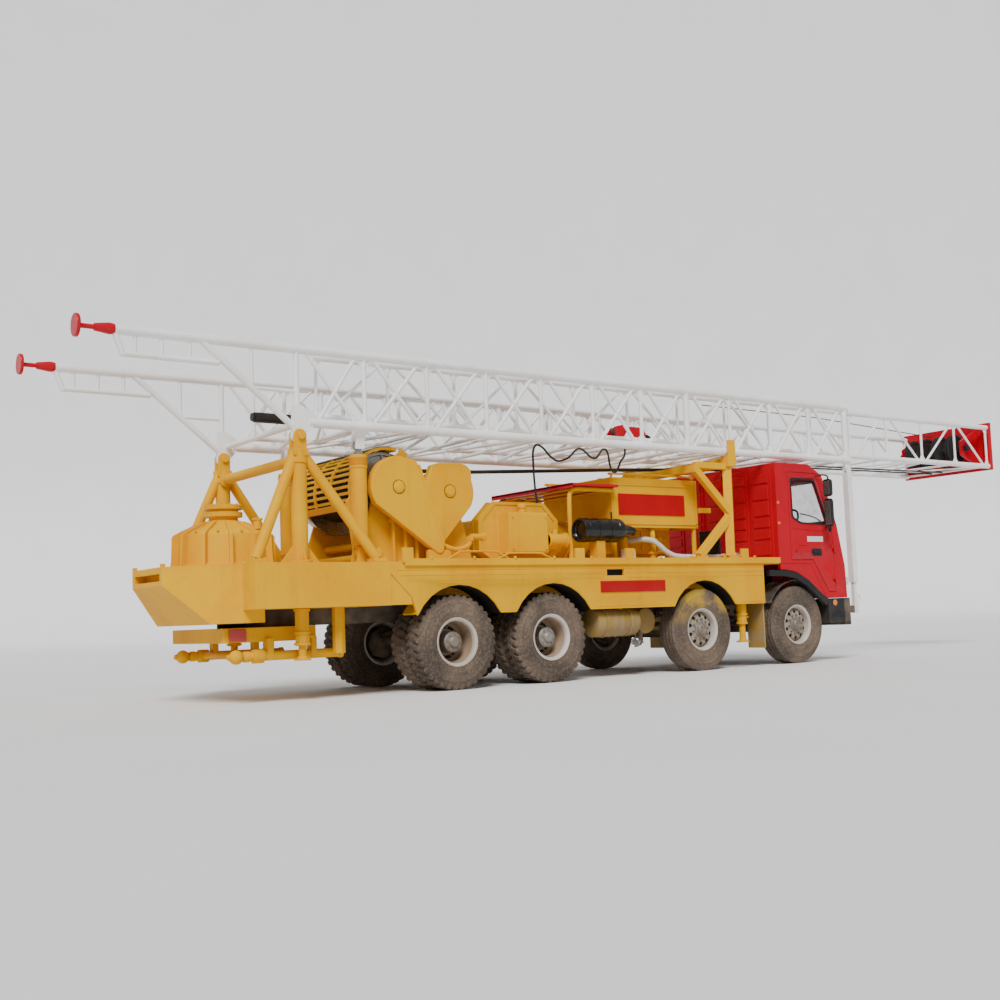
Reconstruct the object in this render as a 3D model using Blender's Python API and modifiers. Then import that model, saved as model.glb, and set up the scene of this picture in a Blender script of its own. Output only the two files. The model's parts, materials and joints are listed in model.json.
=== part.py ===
"""Truck-mounted workover rig: an 8x4 cab-over carrier with its mast lowered over the cab.

Metres, +Z up, X forward, Y left. Lengths along the truck are measured from the rearmost
axle, and the empty "rig" moves the whole machine so that its box is centred on the origin.
"""
import math

import bmesh
import bpy
from mathutils import Matrix, Vector

# Running gaps and fits
SEAT = 0.0003
SLIP = 0.0005
RUN = 0.006
LAP = 0.01

# Wheels and axles
TYRE_RADIUS = 0.56
TYRE_WIDTH = 0.29
TYRE_FACE = 1.17
DUAL_PITCH = 0.33
BEAD_RADIUS = 0.2625
WHEEL_SEGMENTS = 20
RIM_SEGMENTS = 12
RIM_BORE = BEAD_RADIUS * math.cos(math.pi / WHEEL_SEGMENTS) - 2 * SEAT
LIP_RADIUS = 0.286
HUB_RADIUS = 0.12
AXLE_TUBE = 0.075
BOGIE_SPACING = 1.40
FRONT_2_X = 4.02
FRONT_1_X = 5.96
KINGPIN_Y = 0.84
KINGPIN_EYE = 0.05
DRUM_RADIUS = 0.20

# Chassis frame
RAIL_INNER = 0.37
RAIL_WIDTH = 0.07
RAIL_BOTTOM = 0.82
RAIL_TOP = 1.10
RAIL_REAR_X = -2.30
RAIL_FRONT_X = 6.95

# Platform, skirts and stern
DECK_TOP = 1.50
DECK_PLATE = 0.06
DECK_HALF = 1.25
DECK_FRONT_X = 5.53
STEP_X = -2.57
SIDE_FRONT_X = -0.93
SIDE_BOTTOM = 1.01
STERN_BOTTOM = 0.87
STERN_END_X = -3.28
STERN_END_HALF = 0.46
STERN_HALF = 0.93
STERN_KNEE_X = -2.80
STERN_KNEE_HALF = 0.86
SKIRT_BOTTOM = 0.885
SKIRT_PLATE = 0.04
ARCH_RADIUS = 0.67
ARCH_BAND = 0.02
ARCH_DEPTH = 0.33
LIP_WIDTH = 0.03
JACK_LEG = 0.045
JACK_SLEEVE = 0.08
REAR_JACK = (-1.88, 0.92)
FRONT_JACK = (4.86, 1.10)
REAR_JACK_FOOT = 0.44
FRONT_JACK_FOOT = 0.35
JACK_FOOT_RADIUS = 0.095
LEVEL_RAM_Y = 0.765

# Mast, measured from its hinge
PIVOT_X = -1.94
PIVOT_Z = 2.90
TRUSS_Y = 1.04
LOWER_CHORD_Z = 0.16
UPPER_CHORD_Z = 0.98
CHORD = 0.056
BRACE = 0.030
PANELS = 11
SPREAD = 0.09
MAST_LENGTH = 9.45
LEG_LENGTH = 2.05
PAD_RADIUS = 0.12
INNER_Y = 0.84
INNER_LOW_Z = 0.265
INNER_TOP_Z = 0.955
INNER_CHORD = 0.046
INNER_BRACE = 0.0245
INNER_FLAT = INNER_CHORD * math.cos(math.pi / 8)
INNER_START = 0.30
INNER_LENGTH = 13.25
INNER_PANELS = 14
CROWN_PLATE = 0.09
PIN = 0.035
LUG = 0.07

# Extension cylinder and raising cylinders
BARREL_Z = 0.37
BARREL = 0.062
BARREL_LENGTH = 7.70
RAM_X = -1.13
RAM_Y = 0.93
RAM_BASE_Z = 1.62
RAM_EYE_Z = 2.86
RAM_BARREL = 0.095
RAM_ROD = 0.056
RAM_PIN = 0.030

# Drawworks
DRUM_X = -0.62
DRUM_Z = 2.39
SAND_X = 0.15
DRUM_CORE = 0.24
DRUM_FLANGE = 0.46
DRUM_HALF = 0.60
SHAFT = 0.06
CASE_FACE = 0.97
CASE_WALL = 0.10
CASE_RADIUS = 0.36

# Gantry and cab
GANTRY_X = 4.80
CAB_HALF = 1.20
CAB_WALL = 0.05
CAB_FLOOR = 1.45
TUNNEL_HALF = 0.50
DOOR_HINGE_X = 6.81
DOOR_HINGE_Y = CAB_HALF + 0.014
POST_X = 7.44

RIG_REAR = PIVOT_X - LEG_LENGTH - 0.36
RIG_FRONT = PIVOT_X + INNER_START + INNER_LENGTH + CROWN_PLATE
CENTRE_X = (RIG_REAR + RIG_FRONT) / 2
# Cable that hangs in loops under the mast, its route as (x, z)
CABLE = 0.028
CABLE_Y = -0.85
CABLE_ROUTE = [(1.49, 2.26), (1.465, 2.50), (1.455, 2.75), (1.46, 2.93), (1.52, 3.012), (1.62, 2.98),
               (1.73, 2.88), (1.86, 2.82), (2.03, 2.87), (2.17, 2.98), (2.25, 3.00), (2.33, 2.96),
               (2.42, 2.895), (2.51, 2.89), (2.57, 2.95), (2.625, 3.008), (2.69, 3.005), (2.725, 2.93),
               (2.74, 2.83), (2.775, 2.735), (2.84, 2.715), (2.895, 2.78), (2.945, 2.87), (3.005, 2.93),
               (3.024, 2.99), (3.024, 3.0401)]

SIDES = {"right": -1, "left": 1}

# Paints and finishes: red, green, blue, metallic, roughness
FINISHES = {
    "yellow_paint": (0.84, 0.44, 0.01, 0.0, 0.45),
    "white_paint": (0.80, 0.76, 0.72, 0.0, 0.50),
    "red_paint": (0.50, 0.01, 0.02, 0.0, 0.35),
    "black_paint": (0.02, 0.02, 0.02, 0.0, 0.50),
    "tyre_rubber": (0.05, 0.045, 0.04, 0.0, 0.85),
    "wheel_steel": (0.32, 0.28, 0.22, 0.2, 0.60),
    "machined_steel": (0.55, 0.55, 0.55, 1.0, 0.30),
    "cab_trim": (0.06, 0.06, 0.065, 0.0, 0.70),
    "window_glass": (0.05, 0.07, 0.08, 0.0, 0.05),
}


def clear_scene():
    """Remove every object of the startup scene."""
    for item in list(bpy.data.objects):
        bpy.data.objects.remove(item)


def finish(name):
    """Return the Principled material of that name."""
    material = bpy.data.materials.get(name)
    if material is None:
        red, green, blue, metallic, roughness = FINISHES[name]
        material = bpy.data.materials.new(name)
        material.use_nodes = True
        shader = material.node_tree.nodes["Principled BSDF"]
        shader.inputs["Base Color"].default_value = (red, green, blue, 1)
        shader.inputs["Metallic"].default_value = metallic
        shader.inputs["Roughness"].default_value = roughness
        material.diffuse_color = (red, green, blue, 1)
    return material


class Form:
    """Closed solids gathered in one mesh, in the truck's own frame."""

    def __init__(self):
        self.bm = bmesh.new()

    def box(self, x, y, z):
        """A block between the pairs x, y and z."""
        sizes = [abs(pair[1] - pair[0]) for pair in (x, y, z)]
        centre = [(pair[0] + pair[1]) / 2 for pair in (x, y, z)]
        matrix = Matrix.Translation(centre) @ Matrix.Diagonal((*sizes, 1))
        bmesh.ops.create_cube(self.bm, size=1, matrix=matrix)
        return self

    def rod(self, start, end, radius, sides=6, radius_end=None, turn=0.0):
        """A bar, or a cone, with flat ends from start to end."""
        start = Vector(start)
        along = Vector(end) - start
        level = along.to_track_quat("Z", "Y").to_matrix().to_4x4()
        matrix = Matrix.Translation(start + along / 2) @ level @ Matrix.Rotation(turn, 4, "Z")
        tip = radius if radius_end is None else radius_end
        bmesh.ops.create_cone(self.bm, cap_ends=True, segments=sides, radius1=radius,
                              radius2=tip, depth=along.length, matrix=matrix)
        return self

    def pipe_run(self, points, radius, sides=6):
        """Bars from point to point, each run on a little past its bend."""
        for start, end in zip(points, points[1:]):
            over = (Vector(end) - Vector(start)).normalized() * radius * 0.3
            self.rod(Vector(start) - over, Vector(end) + over, radius, sides)
        return self

    def ball(self, centre, radius, rings=10, sides=8):
        """A sphere."""
        bmesh.ops.create_uvsphere(self.bm, u_segments=rings, v_segments=sides, radius=radius,
                                  matrix=Matrix.Translation(centre))
        return self

    def ring(self, centre, turn, radius, thickness):
        """A torus whose axis is Z turned by the 3x3 matrix."""
        bpy.ops.mesh.primitive_torus_add(major_segments=14, minor_segments=5, major_radius=radius,
                                         minor_radius=thickness)
        torus = bpy.context.active_object
        torus.data.transform(Matrix.Translation(centre) @ turn.to_4x4())
        self.bm.from_mesh(torus.data)
        bpy.data.objects.remove(torus)
        return self

    def hull(self, points):
        """The convex solid through the points."""
        verts = [self.bm.verts.new(point) for point in points]
        result = bmesh.ops.convex_hull(self.bm, input=verts)
        loose = [item for item in result["geom_interior"] if isinstance(item, bmesh.types.BMVert)]
        bmesh.ops.delete(self.bm, geom=loose, context="VERTS")
        return self

    def plate(self, loops, near, far, plane="XZ"):
        """Closed outlines, the later ones holes, extruded across their plane."""
        curve = bpy.data.curves.new("outline", "CURVE")
        curve.dimensions = "2D"
        curve.fill_mode = "BOTH"
        curve.extrude = abs(far - near) / 2
        for loop in loops:
            spline = curve.splines.new("POLY")
            spline.points.add(len(loop) - 1)
            spline.use_cyclic_u = True
            for point, (across, up) in zip(spline.points, loop):
                point.co = (across, up, 0, 1)
        guide = bpy.data.objects.new("outline", curve)
        bpy.context.scene.collection.objects.link(guide)
        depsgraph = bpy.context.evaluated_depsgraph_get()
        mesh = bpy.data.meshes.new_from_object(guide.evaluated_get(depsgraph))
        bpy.data.objects.remove(guide)
        middle = (near + far) / 2
        turns = {
            "XZ": Matrix(((1, 0, 0, 0), (0, 0, 1, middle), (0, 1, 0, 0), (0, 0, 0, 1))),
            "YZ": Matrix(((0, 0, 1, middle), (1, 0, 0, 0), (0, 1, 0, 0), (0, 0, 0, 1))),
            "XY": Matrix(((1, 0, 0, 0), (0, 1, 0, 0), (0, 0, 1, middle), (0, 0, 0, 1))),
        }
        mesh.transform(turns[plane])
        self.bm.from_mesh(mesh)
        bpy.data.meshes.remove(mesh)
        return self

    def mirrored(self):
        """Add the other side's copy, across Y."""
        verts = list(self.bm.verts)
        faces = list(self.bm.faces)
        copy = bmesh.ops.duplicate(self.bm, geom=verts + list(self.bm.edges) + faces)
        moved = [item for item in copy["geom"] if isinstance(item, bmesh.types.BMVert)]
        bmesh.ops.scale(self.bm, verts=moved, vec=(1, -1, 1))
        return self

    def mesh(self, name, pivot):
        """Return the gathered mesh, measured from the pivot."""
        bmesh.ops.remove_doubles(self.bm, verts=self.bm.verts, dist=0.00001)
        bmesh.ops.recalc_face_normals(self.bm, faces=self.bm.faces)
        bmesh.ops.translate(self.bm, verts=self.bm.verts, vec=-Vector(pivot))
        mesh = bpy.data.meshes.new(name)
        self.bm.to_mesh(mesh)
        self.bm.free()
        return mesh


def place(name, mesh, collection, pivot):
    """Link an object whose origin is the pivot."""
    item = bpy.data.objects.new(name, mesh)
    collection.objects.link(item)
    item.parent = RIG["empty"]
    item.location = pivot
    return item


def helper(name, form, pivot):
    """An object that a Boolean uses, left out of the model."""
    item = place(name, form.mesh(name, pivot), RIG["cutters"], pivot)
    item.hide_render = True
    item.display_type = "WIRE"
    return item


def combine(item, operation, other, overlapping=False):
    """Add an exact Boolean modifier."""
    modifier = item.modifiers.new(operation.lower(), "BOOLEAN")
    modifier.operation = operation
    modifier.object = other
    modifier.solver = "EXACT"
    modifier.use_self = overlapping


def piece(name, paint, form, joined=None, cut=None, pivot=(0, 0, 0), overlapping=True):
    """One named sub-part: a form, what is welded to it, and what is cut from both."""
    item = place(name, form.mesh(name, pivot), RIG["parts"], pivot)
    item.data.materials.append(finish(paint))
    if joined is not None:
        combine(item, "UNION", helper(name + "_weld", joined, pivot), overlapping)
    if cut is not None:
        combine(item, "DIFFERENCE", helper(name + "_cut", cut, pivot))
    return item


def turned(name, paint, profile, centre, side, segments):
    """A solid of revolution about Y: profile holds (radius, distance outward from the centre)."""
    mesh = bpy.data.meshes.new(name)
    verts = [(radius, side * out, 0) for radius, out in profile]
    edges = [(index, index + 1) for index in range(len(profile) - 1)]
    if profile[0][0] > 0:
        edges.append((len(profile) - 1, 0))
    mesh.from_pydata(verts, edges, [])
    item = place(name, mesh, RIG["parts"], centre)
    item.data.materials.append(finish(paint))
    screw = item.modifiers.new("turn", "SCREW")
    screw.axis = "Y"
    screw.steps = segments
    screw.render_steps = segments
    screw.use_merge_vertices = True
    screw.merge_threshold = 0.00001
    screw.use_normal_flip = side < 0
    return item


def arc(centre, radius, start, end, steps):
    """Points along an arc, angles in degrees."""
    angles = [math.radians(start + (end - start) * step / steps) for step in range(steps + 1)]
    return [(centre[0] + radius * math.cos(a), centre[1] + radius * math.sin(a)) for a in angles]


def bearing(radius, sides):
    """The radius of a flat-sided bore in which a flat-sided shaft just turns."""
    return (radius + SLIP) / math.cos(math.pi / sides)


def build_chassis():
    """Two rails, their cross members, the engine's block on its mounts and the mud flaps."""
    rail_outer = RAIL_INNER + RAIL_WIDTH
    rails = Form()
    rails.box((RAIL_REAR_X, RAIL_FRONT_X), (RAIL_INNER, rail_outer), (RAIL_BOTTOM, RAIL_TOP))
    rails.mirrored()
    members = Form()
    for x in (RAIL_REAR_X + 0.12, -0.70, BOGIE_SPACING / 2, 2.20, 3.20, 5.30, RAIL_FRONT_X - 0.1):
        members.box((x - 0.05, x + 0.05), (-RAIL_INNER - LAP, RAIL_INNER + LAP),
                    (RAIL_BOTTOM + 0.04, RAIL_TOP - 0.04))
    flap_x = FRONT_1_X - 0.75
    for side in SIDES.values():
        flap_outer = TYRE_FACE + 0.02
        members.rod((flap_x, side * (rail_outer - LAP), 0.96), (flap_x, side * (flap_outer - 0.09), 0.96), 0.025)
        members.box((flap_x - 0.01, flap_x + 0.012), (side * (flap_outer - 0.30), side * flap_outer), (0.26, 0.985))
    members.box((5.72, 6.70), (-0.33, 0.33), (0.78, 1.38))
    for x in (5.90, 6.55):
        members.box((x, x + 0.12), (LAP - rail_outer, rail_outer - LAP), (RAIL_TOP - LAP, RAIL_TOP + 0.07))
    piece("chassis_frame", "black_paint", rails, members)


def build_platform():
    """Deck plate with its bearers, the hull behind the wheels and the narrowed stern."""
    under = DECK_TOP - DECK_PLATE
    rail_outer = RAIL_INNER + RAIL_WIDTH
    deck = Form().box((STEP_X, DECK_FRONT_X), (-DECK_HALF, DECK_HALF), (under, DECK_TOP))
    weld = Form()
    for side in SIDES.values():
        weld.box((RAIL_REAR_X, DECK_FRONT_X - 0.1), (side * RAIL_INNER, side * rail_outer),
                 (RAIL_TOP + SEAT, under + LAP))
        weld.box((STEP_X, SIDE_FRONT_X), (side * (rail_outer + RUN), side * DECK_HALF),
                 (SIDE_BOTTOM, under + LAP))
        weld.box((SIDE_FRONT_X + 0.18, DECK_FRONT_X), (side * (DECK_HALF - LAP), side *
                 (DECK_HALF + LIP_WIDTH)), (DECK_TOP - 0.045, DECK_TOP + 0.035))
        for x in (-0.71, 1.82, 2.66, 4.81):
            weld.box((x - 0.07, x + 0.07), (side * (DECK_HALF - 0.006), side * (DECK_HALF + 0.027)),
                     (DECK_TOP - 0.01, DECK_TOP + 0.16))
        jack_x, jack_y = REAR_JACK
        weld.rod((jack_x, side * jack_y, 0.60), (jack_x, side * jack_y, SIDE_BOTTOM + LAP),
                 JACK_SLEEVE, 8)
        weld.rod((-1.43, side * jack_y, 0.50), (-1.43, side * jack_y, SIDE_BOTTOM + LAP), 0.07, 6)
        jack_x, jack_y = FRONT_JACK
        weld.rod((jack_x, side * jack_y, 0.60), (jack_x, side * jack_y, under + LAP),
                 JACK_SLEEVE - 0.01, 8)
        for step in (-0.065, 0.065):
            y = side * RAM_Y + step
            weld.plate([[(RAM_X - 0.09, DECK_TOP - LAP), (RAM_X + 0.09, DECK_TOP - LAP),
                         (RAM_X + 0.06, RAM_BASE_Z + 0.06), (RAM_X - 0.06, RAM_BASE_Z + 0.06)]],
                       y - 0.015, y + 0.015)
        weld.rod((RAM_X, side * RAM_Y - 0.09, RAM_BASE_Z), (RAM_X, side * RAM_Y + 0.09, RAM_BASE_Z),
                 RAM_PIN, 8, turn=math.pi / 8)
    for x in (-0.70, 0.70, 2.10, 3.05, 4.95):
        weld.box((x - 0.04, x + 0.04), (-DECK_HALF + SKIRT_PLATE + RUN, DECK_HALF - SKIRT_PLATE - RUN),
                 (1.31, under + LAP))
    stern = []
    for side in SIDES.values():
        stern += [(RAIL_REAR_X - 0.02, side * STERN_HALF, z) for z in (STERN_BOTTOM, DECK_TOP)]
        stern += [(STEP_X, side * STERN_HALF, z) for z in (STERN_BOTTOM, DECK_TOP)]
        stern += [(STERN_KNEE_X, side * STERN_KNEE_HALF, z) for z in (STERN_BOTTOM, DECK_TOP)]
        stern += [(STERN_END_X, side * STERN_END_HALF, z) for z in (1.30, DECK_TOP)]
        stern += [(-2.88, side * 0.793, STERN_BOTTOM)]
        weld.box((STERN_END_X, STERN_END_X + 0.04),
                 (side * (STERN_END_HALF - 0.05), side * STERN_END_HALF), (1.40, DECK_TOP + 0.035))
    weld.hull(stern)
    cut = Form()
    cut.box((STERN_END_X - 0.1, STERN_END_X + 0.14), (-0.39, 0.39), (1.35, 1.43))
    for side in SIDES.values():
        for x, y in (REAR_JACK, FRONT_JACK):
            cut.rod((x, side * y, 0.5), (x, side * y, 1.16), JACK_LEG + SLIP, 6)
    piece("platform", "yellow_paint", deck, weld, cut)


def skirt_outline():
    """The skirt from the side: a sloped rear end, three round arches and a square front."""
    top = DECK_TOP - DECK_PLATE - SEAT
    foot = math.degrees(math.asin((SKIRT_BOTTOM - TYRE_RADIUS) / ARCH_RADIUS))
    points = [(5.20, SKIRT_BOTTOM), (5.20, top), (SIDE_FRONT_X + SEAT, top)]
    points += [(SIDE_FRONT_X + SEAT, 1.37), (-0.66, 1.10)]
    for x in (0, BOGIE_SPACING, FRONT_2_X):
        points += arc((x, TYRE_RADIUS), ARCH_RADIUS, 180 - foot, foot, 10)
    return points


def build_skirts():
    """Side plates with a rolled band round each wheel arch."""
    foot = math.degrees(math.asin((SKIRT_BOTTOM - TYRE_RADIUS) / ARCH_RADIUS))
    for name, side in SIDES.items():
        outer = side * DECK_HALF
        sheet = Form().plate([skirt_outline()], outer, outer - side * SKIRT_PLATE)
        bands = Form()
        for x in (0, BOGIE_SPACING, FRONT_2_X):
            ring = arc((x, TYRE_RADIUS), ARCH_RADIUS + ARCH_BAND, 179 - foot, foot + 1, 10)
            ring += arc((x, TYRE_RADIUS), ARCH_RADIUS - 0.004, foot + 1, 179 - foot, 10)
            bands.plate([ring], outer - side * 0.01, outer - side * ARCH_DEPTH)
        cut = Form().box((2.27, 2.56), (outer - 0.1, outer + 0.1), (1.31, 1.39))
        piece("skirt_" + name, "yellow_paint", sheet, bands, cut)


def build_jacks():
    """Jack legs that slide down out of their sleeves."""
    spots = {"rear": (REAR_JACK, REAR_JACK_FOOT), "front": (FRONT_JACK, FRONT_JACK_FOOT)}
    for end, ((x, y), foot) in spots.items():
        for name, side in SIDES.items():
            leg = Form().rod((x, side * y, foot + 0.02), (x, side * y, 1.12), JACK_LEG, 6)
            shoe = Form().rod((x, side * y, foot), (x, side * y, foot + 0.03), JACK_FOOT_RADIUS, 12)
            piece(f"jack_leg_{end}_{name}", "yellow_paint", leg, shoe, pivot=(x, side * y, foot))


def build_underframe():
    """The beam under the stern with its lamps and the two level rams."""
    top = RAIL_BOTTOM - SEAT
    beam = Form().box((-2.72, -1.62), (-0.74, 0.74), (0.66, top))
    weld = Form()
    for side in SIDES.values():
        weld.box((-2.75, -2.70), (side * 0.56, side * 0.72), (0.69, 0.80))
        weld.rod((-2.52, side * LEVEL_RAM_Y, 0.506), (-1.32, side * LEVEL_RAM_Y, 0.506), 0.052, 6)
        weld.ball((-2.59, side * LEVEL_RAM_Y, 0.506), 0.078, 8, 6)
        weld.rod((-2.40, side * LEVEL_RAM_Y, 0.506), (-2.28, side * LEVEL_RAM_Y, 0.506), 0.075, 6)
        weld.box((-2.24, -2.16), (side * 0.70, side * 0.80), (0.50, 0.70))
        weld.box((-1.72, -1.66), (side * 0.70, side * 0.80), (0.50, 0.70))
    weld.rod((-2.34, -LEVEL_RAM_Y, 0.51), (-2.34, LEVEL_RAM_Y, 0.51), 0.04, 6)
    piece("rear_underframe", "yellow_paint", beam, weld)


def build_a_frames():
    """The mast supports: an upright and two stays under each hinge, tied across."""
    for name, side in SIDES.items():
        y = side * TRUSS_Y
        head = PIVOT_Z - 0.17
        upright = Form().rod((PIVOT_X, y, DECK_TOP + SEAT), (PIVOT_X, y, head + 0.02), 0.09, 8)
        weld = Form()
        for foot_x, foot_y in ((-2.49, 1.10), (-1.05, 1.15)):
            lean = 0.03 if foot_x > PIVOT_X else -0.03
            weld.rod((foot_x, side * foot_y, DECK_TOP + 0.045), (PIVOT_X + lean, y, head), 0.06, 6)
            weld.box((foot_x - 0.075, foot_x + 0.09), (side * (foot_y - 0.09), side * (foot_y + 0.09)),
                     (DECK_TOP + SEAT, DECK_TOP + 0.05))
        weld.box((PIVOT_X - 0.09, PIVOT_X + 0.09), (y - 0.08, y + 0.08), (head - 0.05, head + 0.03))
        gusset = [(PIVOT_X - 0.24, DECK_TOP + SEAT), (PIVOT_X + 0.24, DECK_TOP + SEAT),
                  (PIVOT_X + 0.05, DECK_TOP + 0.22), (PIVOT_X - 0.05, DECK_TOP + 0.22)]
        weld.plate([gusset], y - 0.015, y + 0.015)
        cheek = [(PIVOT_X - 0.075, head - 0.04), (PIVOT_X + 0.075, head - 0.04)]
        cheek += arc((PIVOT_X, PIVOT_Z), 0.075, 0, 180, 4)
        for step in (-1, 1):
            inner = y + step * (LUG / 2 + RUN)
            weld.plate([cheek], inner, inner + step * 0.03)
        weld.rod((PIVOT_X, y - 0.09, PIVOT_Z), (PIVOT_X, y + 0.09, PIVOT_Z), PIN, 8, turn=math.pi / 8)
        pad = TRUSS_Y - 0.11
        if side < 0:
            weld.box((PIVOT_X - 0.08, PIVOT_X + 0.08), (-pad - 0.05, -pad), (2.56, 2.72))
        else:
            weld.rod((PIVOT_X, -pad + SEAT, 2.64), (PIVOT_X, pad + 0.05, 2.64), 0.06, 8)
        piece("a_frame_" + name, "yellow_paint", upright, weld)


def build_gear_housing():
    """The ribbed housing on the stern with its flanged neck."""
    x, base = -2.38, DECK_TOP + SEAT
    body = Form().rod((x, 0, base), (x, 0, 1.88), 0.56, 10)
    weld = Form()
    weld.rod((x, 0, 1.87), (x, 0, 2.04), 0.50, 10, radius_end=0.24)
    weld.rod((x, 0, 2.00), (x, 0, 2.20), 0.16, 12)
    weld.rod((x, 0, 2.08), (x, 0, 2.14), 0.215, 12)
    weld.rod((x, 0, 2.17), (x, 0, 2.22), 0.215, 12)
    for index in range(12):
        angle = math.radians(30 * index + 15)
        radial = Vector((math.cos(angle), math.sin(angle), 0))
        start = Vector((x, 0, 0)) + radial * 0.50
        end = Vector((x, 0, 0)) + radial * 0.585
        weld.rod((end.x, end.y, base + 0.02), (start.x, start.y, 1.90), 0.024, 4)
    piece("gear_housing", "yellow_paint", body, weld)


def build_drawworks():
    """Side frames, sand drum and ribbed guard; the main drum; the double chain case."""
    floor = DECK_TOP + SEAT
    plates = Form()
    weld = Form()
    for side in SIDES.values():
        outline = [(DRUM_X - 0.45, floor), (SAND_X + 0.42, floor), (SAND_X + 0.30, 1.95)]
        outline += arc((SAND_X, DRUM_Z - 0.02), 0.14, 0, 120, 4)
        outline += arc((DRUM_X, DRUM_Z), 0.16, 60, 180, 5)
        inner = side * (DRUM_HALF + 0.06)
        plates.plate([outline], inner, inner + side * 0.05)
    for x, z in ((DRUM_X - 0.30, 1.58), (SAND_X + 0.25, 1.58), (DRUM_X - 0.10, 1.75)):
        weld.rod((x, -0.70, z), (x, 0.70, z), 0.05, 6)
    weld.rod((SAND_X, -0.86, DRUM_Z - 0.02), (SAND_X, 0.80, DRUM_Z - 0.02), SHAFT, 8)
    weld.rod((SAND_X, -0.50, DRUM_Z - 0.02), (SAND_X, 0.50, DRUM_Z - 0.02), 0.17, 12)
    for y in (-0.50, 0.46):
        weld.rod((SAND_X, y, DRUM_Z - 0.02), (SAND_X, y + 0.04, DRUM_Z - 0.02), 0.27, 12)
    cut = Form().rod((DRUM_X, -1.0, DRUM_Z), (DRUM_X, 1.0, DRUM_Z), bearing(SHAFT, 10), 10)
    guard_outer = DRUM_FLANGE + 0.07
    for start, end in ((62, 70), (118, 128), (180, 192)):
        ring = arc((DRUM_X, DRUM_Z), guard_outer, start, end, 1)
        ring += arc((DRUM_X, DRUM_Z), guard_outer - 0.035, end, start, 1)
        weld.plate([ring], -DRUM_HALF - 0.11, DRUM_HALF + 0.11)
    for y in (-DRUM_HALF - 0.10, -0.22, 0.18, DRUM_HALF + 0.06):
        ring = arc((DRUM_X, DRUM_Z), guard_outer + 0.01, 58, 196, 5)
        ring += arc((DRUM_X, DRUM_Z), guard_outer - 0.04, 196, 58, 5)
        weld.plate([ring], y, y + 0.04)
    for side in SIDES.values():
        inner = side * (DRUM_HALF + 0.065)
        strut = [(DRUM_X - 0.55, DRUM_Z - 0.16), (DRUM_X - 0.45, floor + 0.01),
                 (DRUM_X - 0.30, floor + 0.01), (DRUM_X - 0.46, DRUM_Z - 0.05)]
        weld.plate([strut], inner, inner + side * 0.04)
        brow = [(DRUM_X - 0.02, DRUM_Z + 0.05), (DRUM_X + 0.12, DRUM_Z), (DRUM_X + 0.30, DRUM_Z + 0.44),
                (DRUM_X + 0.20, DRUM_Z + 0.50)]
        weld.plate([brow], inner, inner + side * 0.04)
    piece("drawworks_frame", "yellow_paint", plates, weld, cut)

    drum = Form().rod((DRUM_X, -0.865, DRUM_Z), (DRUM_X, 0.97, DRUM_Z), SHAFT, 10, turn=math.pi / 10)
    weld = Form().rod((DRUM_X, -DRUM_HALF + 0.02, DRUM_Z), (DRUM_X, DRUM_HALF - 0.02, DRUM_Z),
                      DRUM_CORE, 12)
    for y in (-DRUM_HALF, DRUM_HALF - 0.05):
        weld.rod((DRUM_X, y, DRUM_Z), (DRUM_X, y + 0.05, DRUM_Z), DRUM_FLANGE, 16)
    weld.rod((DRUM_X, 0.76, DRUM_Z), (DRUM_X, 0.92, DRUM_Z), 0.36, 14)
    piece("main_drum", "machined_steel", drum, weld, pivot=(DRUM_X, 0, DRUM_Z))

    tip = (-0.08, 1.68)
    case_a = arc((DRUM_X, DRUM_Z), CASE_RADIUS, 20, 218, 10) + arc(tip, 0.07, 225, 380, 4)
    case_b = arc((SAND_X, DRUM_Z - 0.02), CASE_RADIUS - 0.01, -30, 165, 10) + arc(tip, 0.05, 180, 340, 4)
    face = -CASE_FACE
    heart = Form().plate([case_a], face, face + CASE_WALL)
    weld = Form().plate([case_b], face + CASE_WALL - LAP, face + 2 * CASE_WALL - LAP)
    for x, z, radius in ((DRUM_X, DRUM_Z, 0.07), (SAND_X, DRUM_Z - 0.02, 0.07)):
        depth = CASE_WALL if x == SAND_X else 0.0
        weld.rod((x, face + depth - 0.02 - (LAP if depth else 0), z), (x, face + depth + 0.02, z),
                 radius, 10)
    weld.box((-0.22, 0.10), (face + 0.02, face + 0.10), (DECK_TOP + SEAT, 1.66))
    cut = Form().rod((DRUM_X, -0.87, DRUM_Z), (DRUM_X, -0.70, DRUM_Z), bearing(SHAFT, 10), 10)
    cut.rod((SAND_X, -0.8603, DRUM_Z - 0.02), (SAND_X, -0.70, DRUM_Z - 0.02), SHAFT + SEAT, 8)
    piece("chain_case", "yellow_paint", heart, weld, cut)


def build_gearbox():
    """The middle gearbox: a box, its eight-sided chain guard and the drive shaft's coupling."""
    floor = DECK_TOP + SEAT
    body = Form().box((0.95, 1.75), (-0.50, 0.45), (floor, 2.08))
    weld = Form().box((1.03, 1.65), (-0.86, -0.45), (1.62, 2.14))
    octagon = [(0.74, 1.68), (1.00, floor + 0.03), (1.72, floor + 0.03), (1.97, 1.68),
               (1.97, 2.06), (1.75, 2.28), (0.96, 2.28), (0.74, 2.06)]
    weld.plate([octagon], -0.62, -0.50)
    weld.rod((1.34, -0.72, 2.12), (1.34, -0.72, 2.26), 0.05, 8)
    weld.rod((1.70, -0.05, 1.84), (2.16, -0.05, 1.84), 0.06, 8)
    weld.rod((1.95, -0.05, 1.84), (2.10, -0.05, 1.84), 0.13, 12)
    piece("gearbox", "yellow_paint", body, weld)


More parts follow.
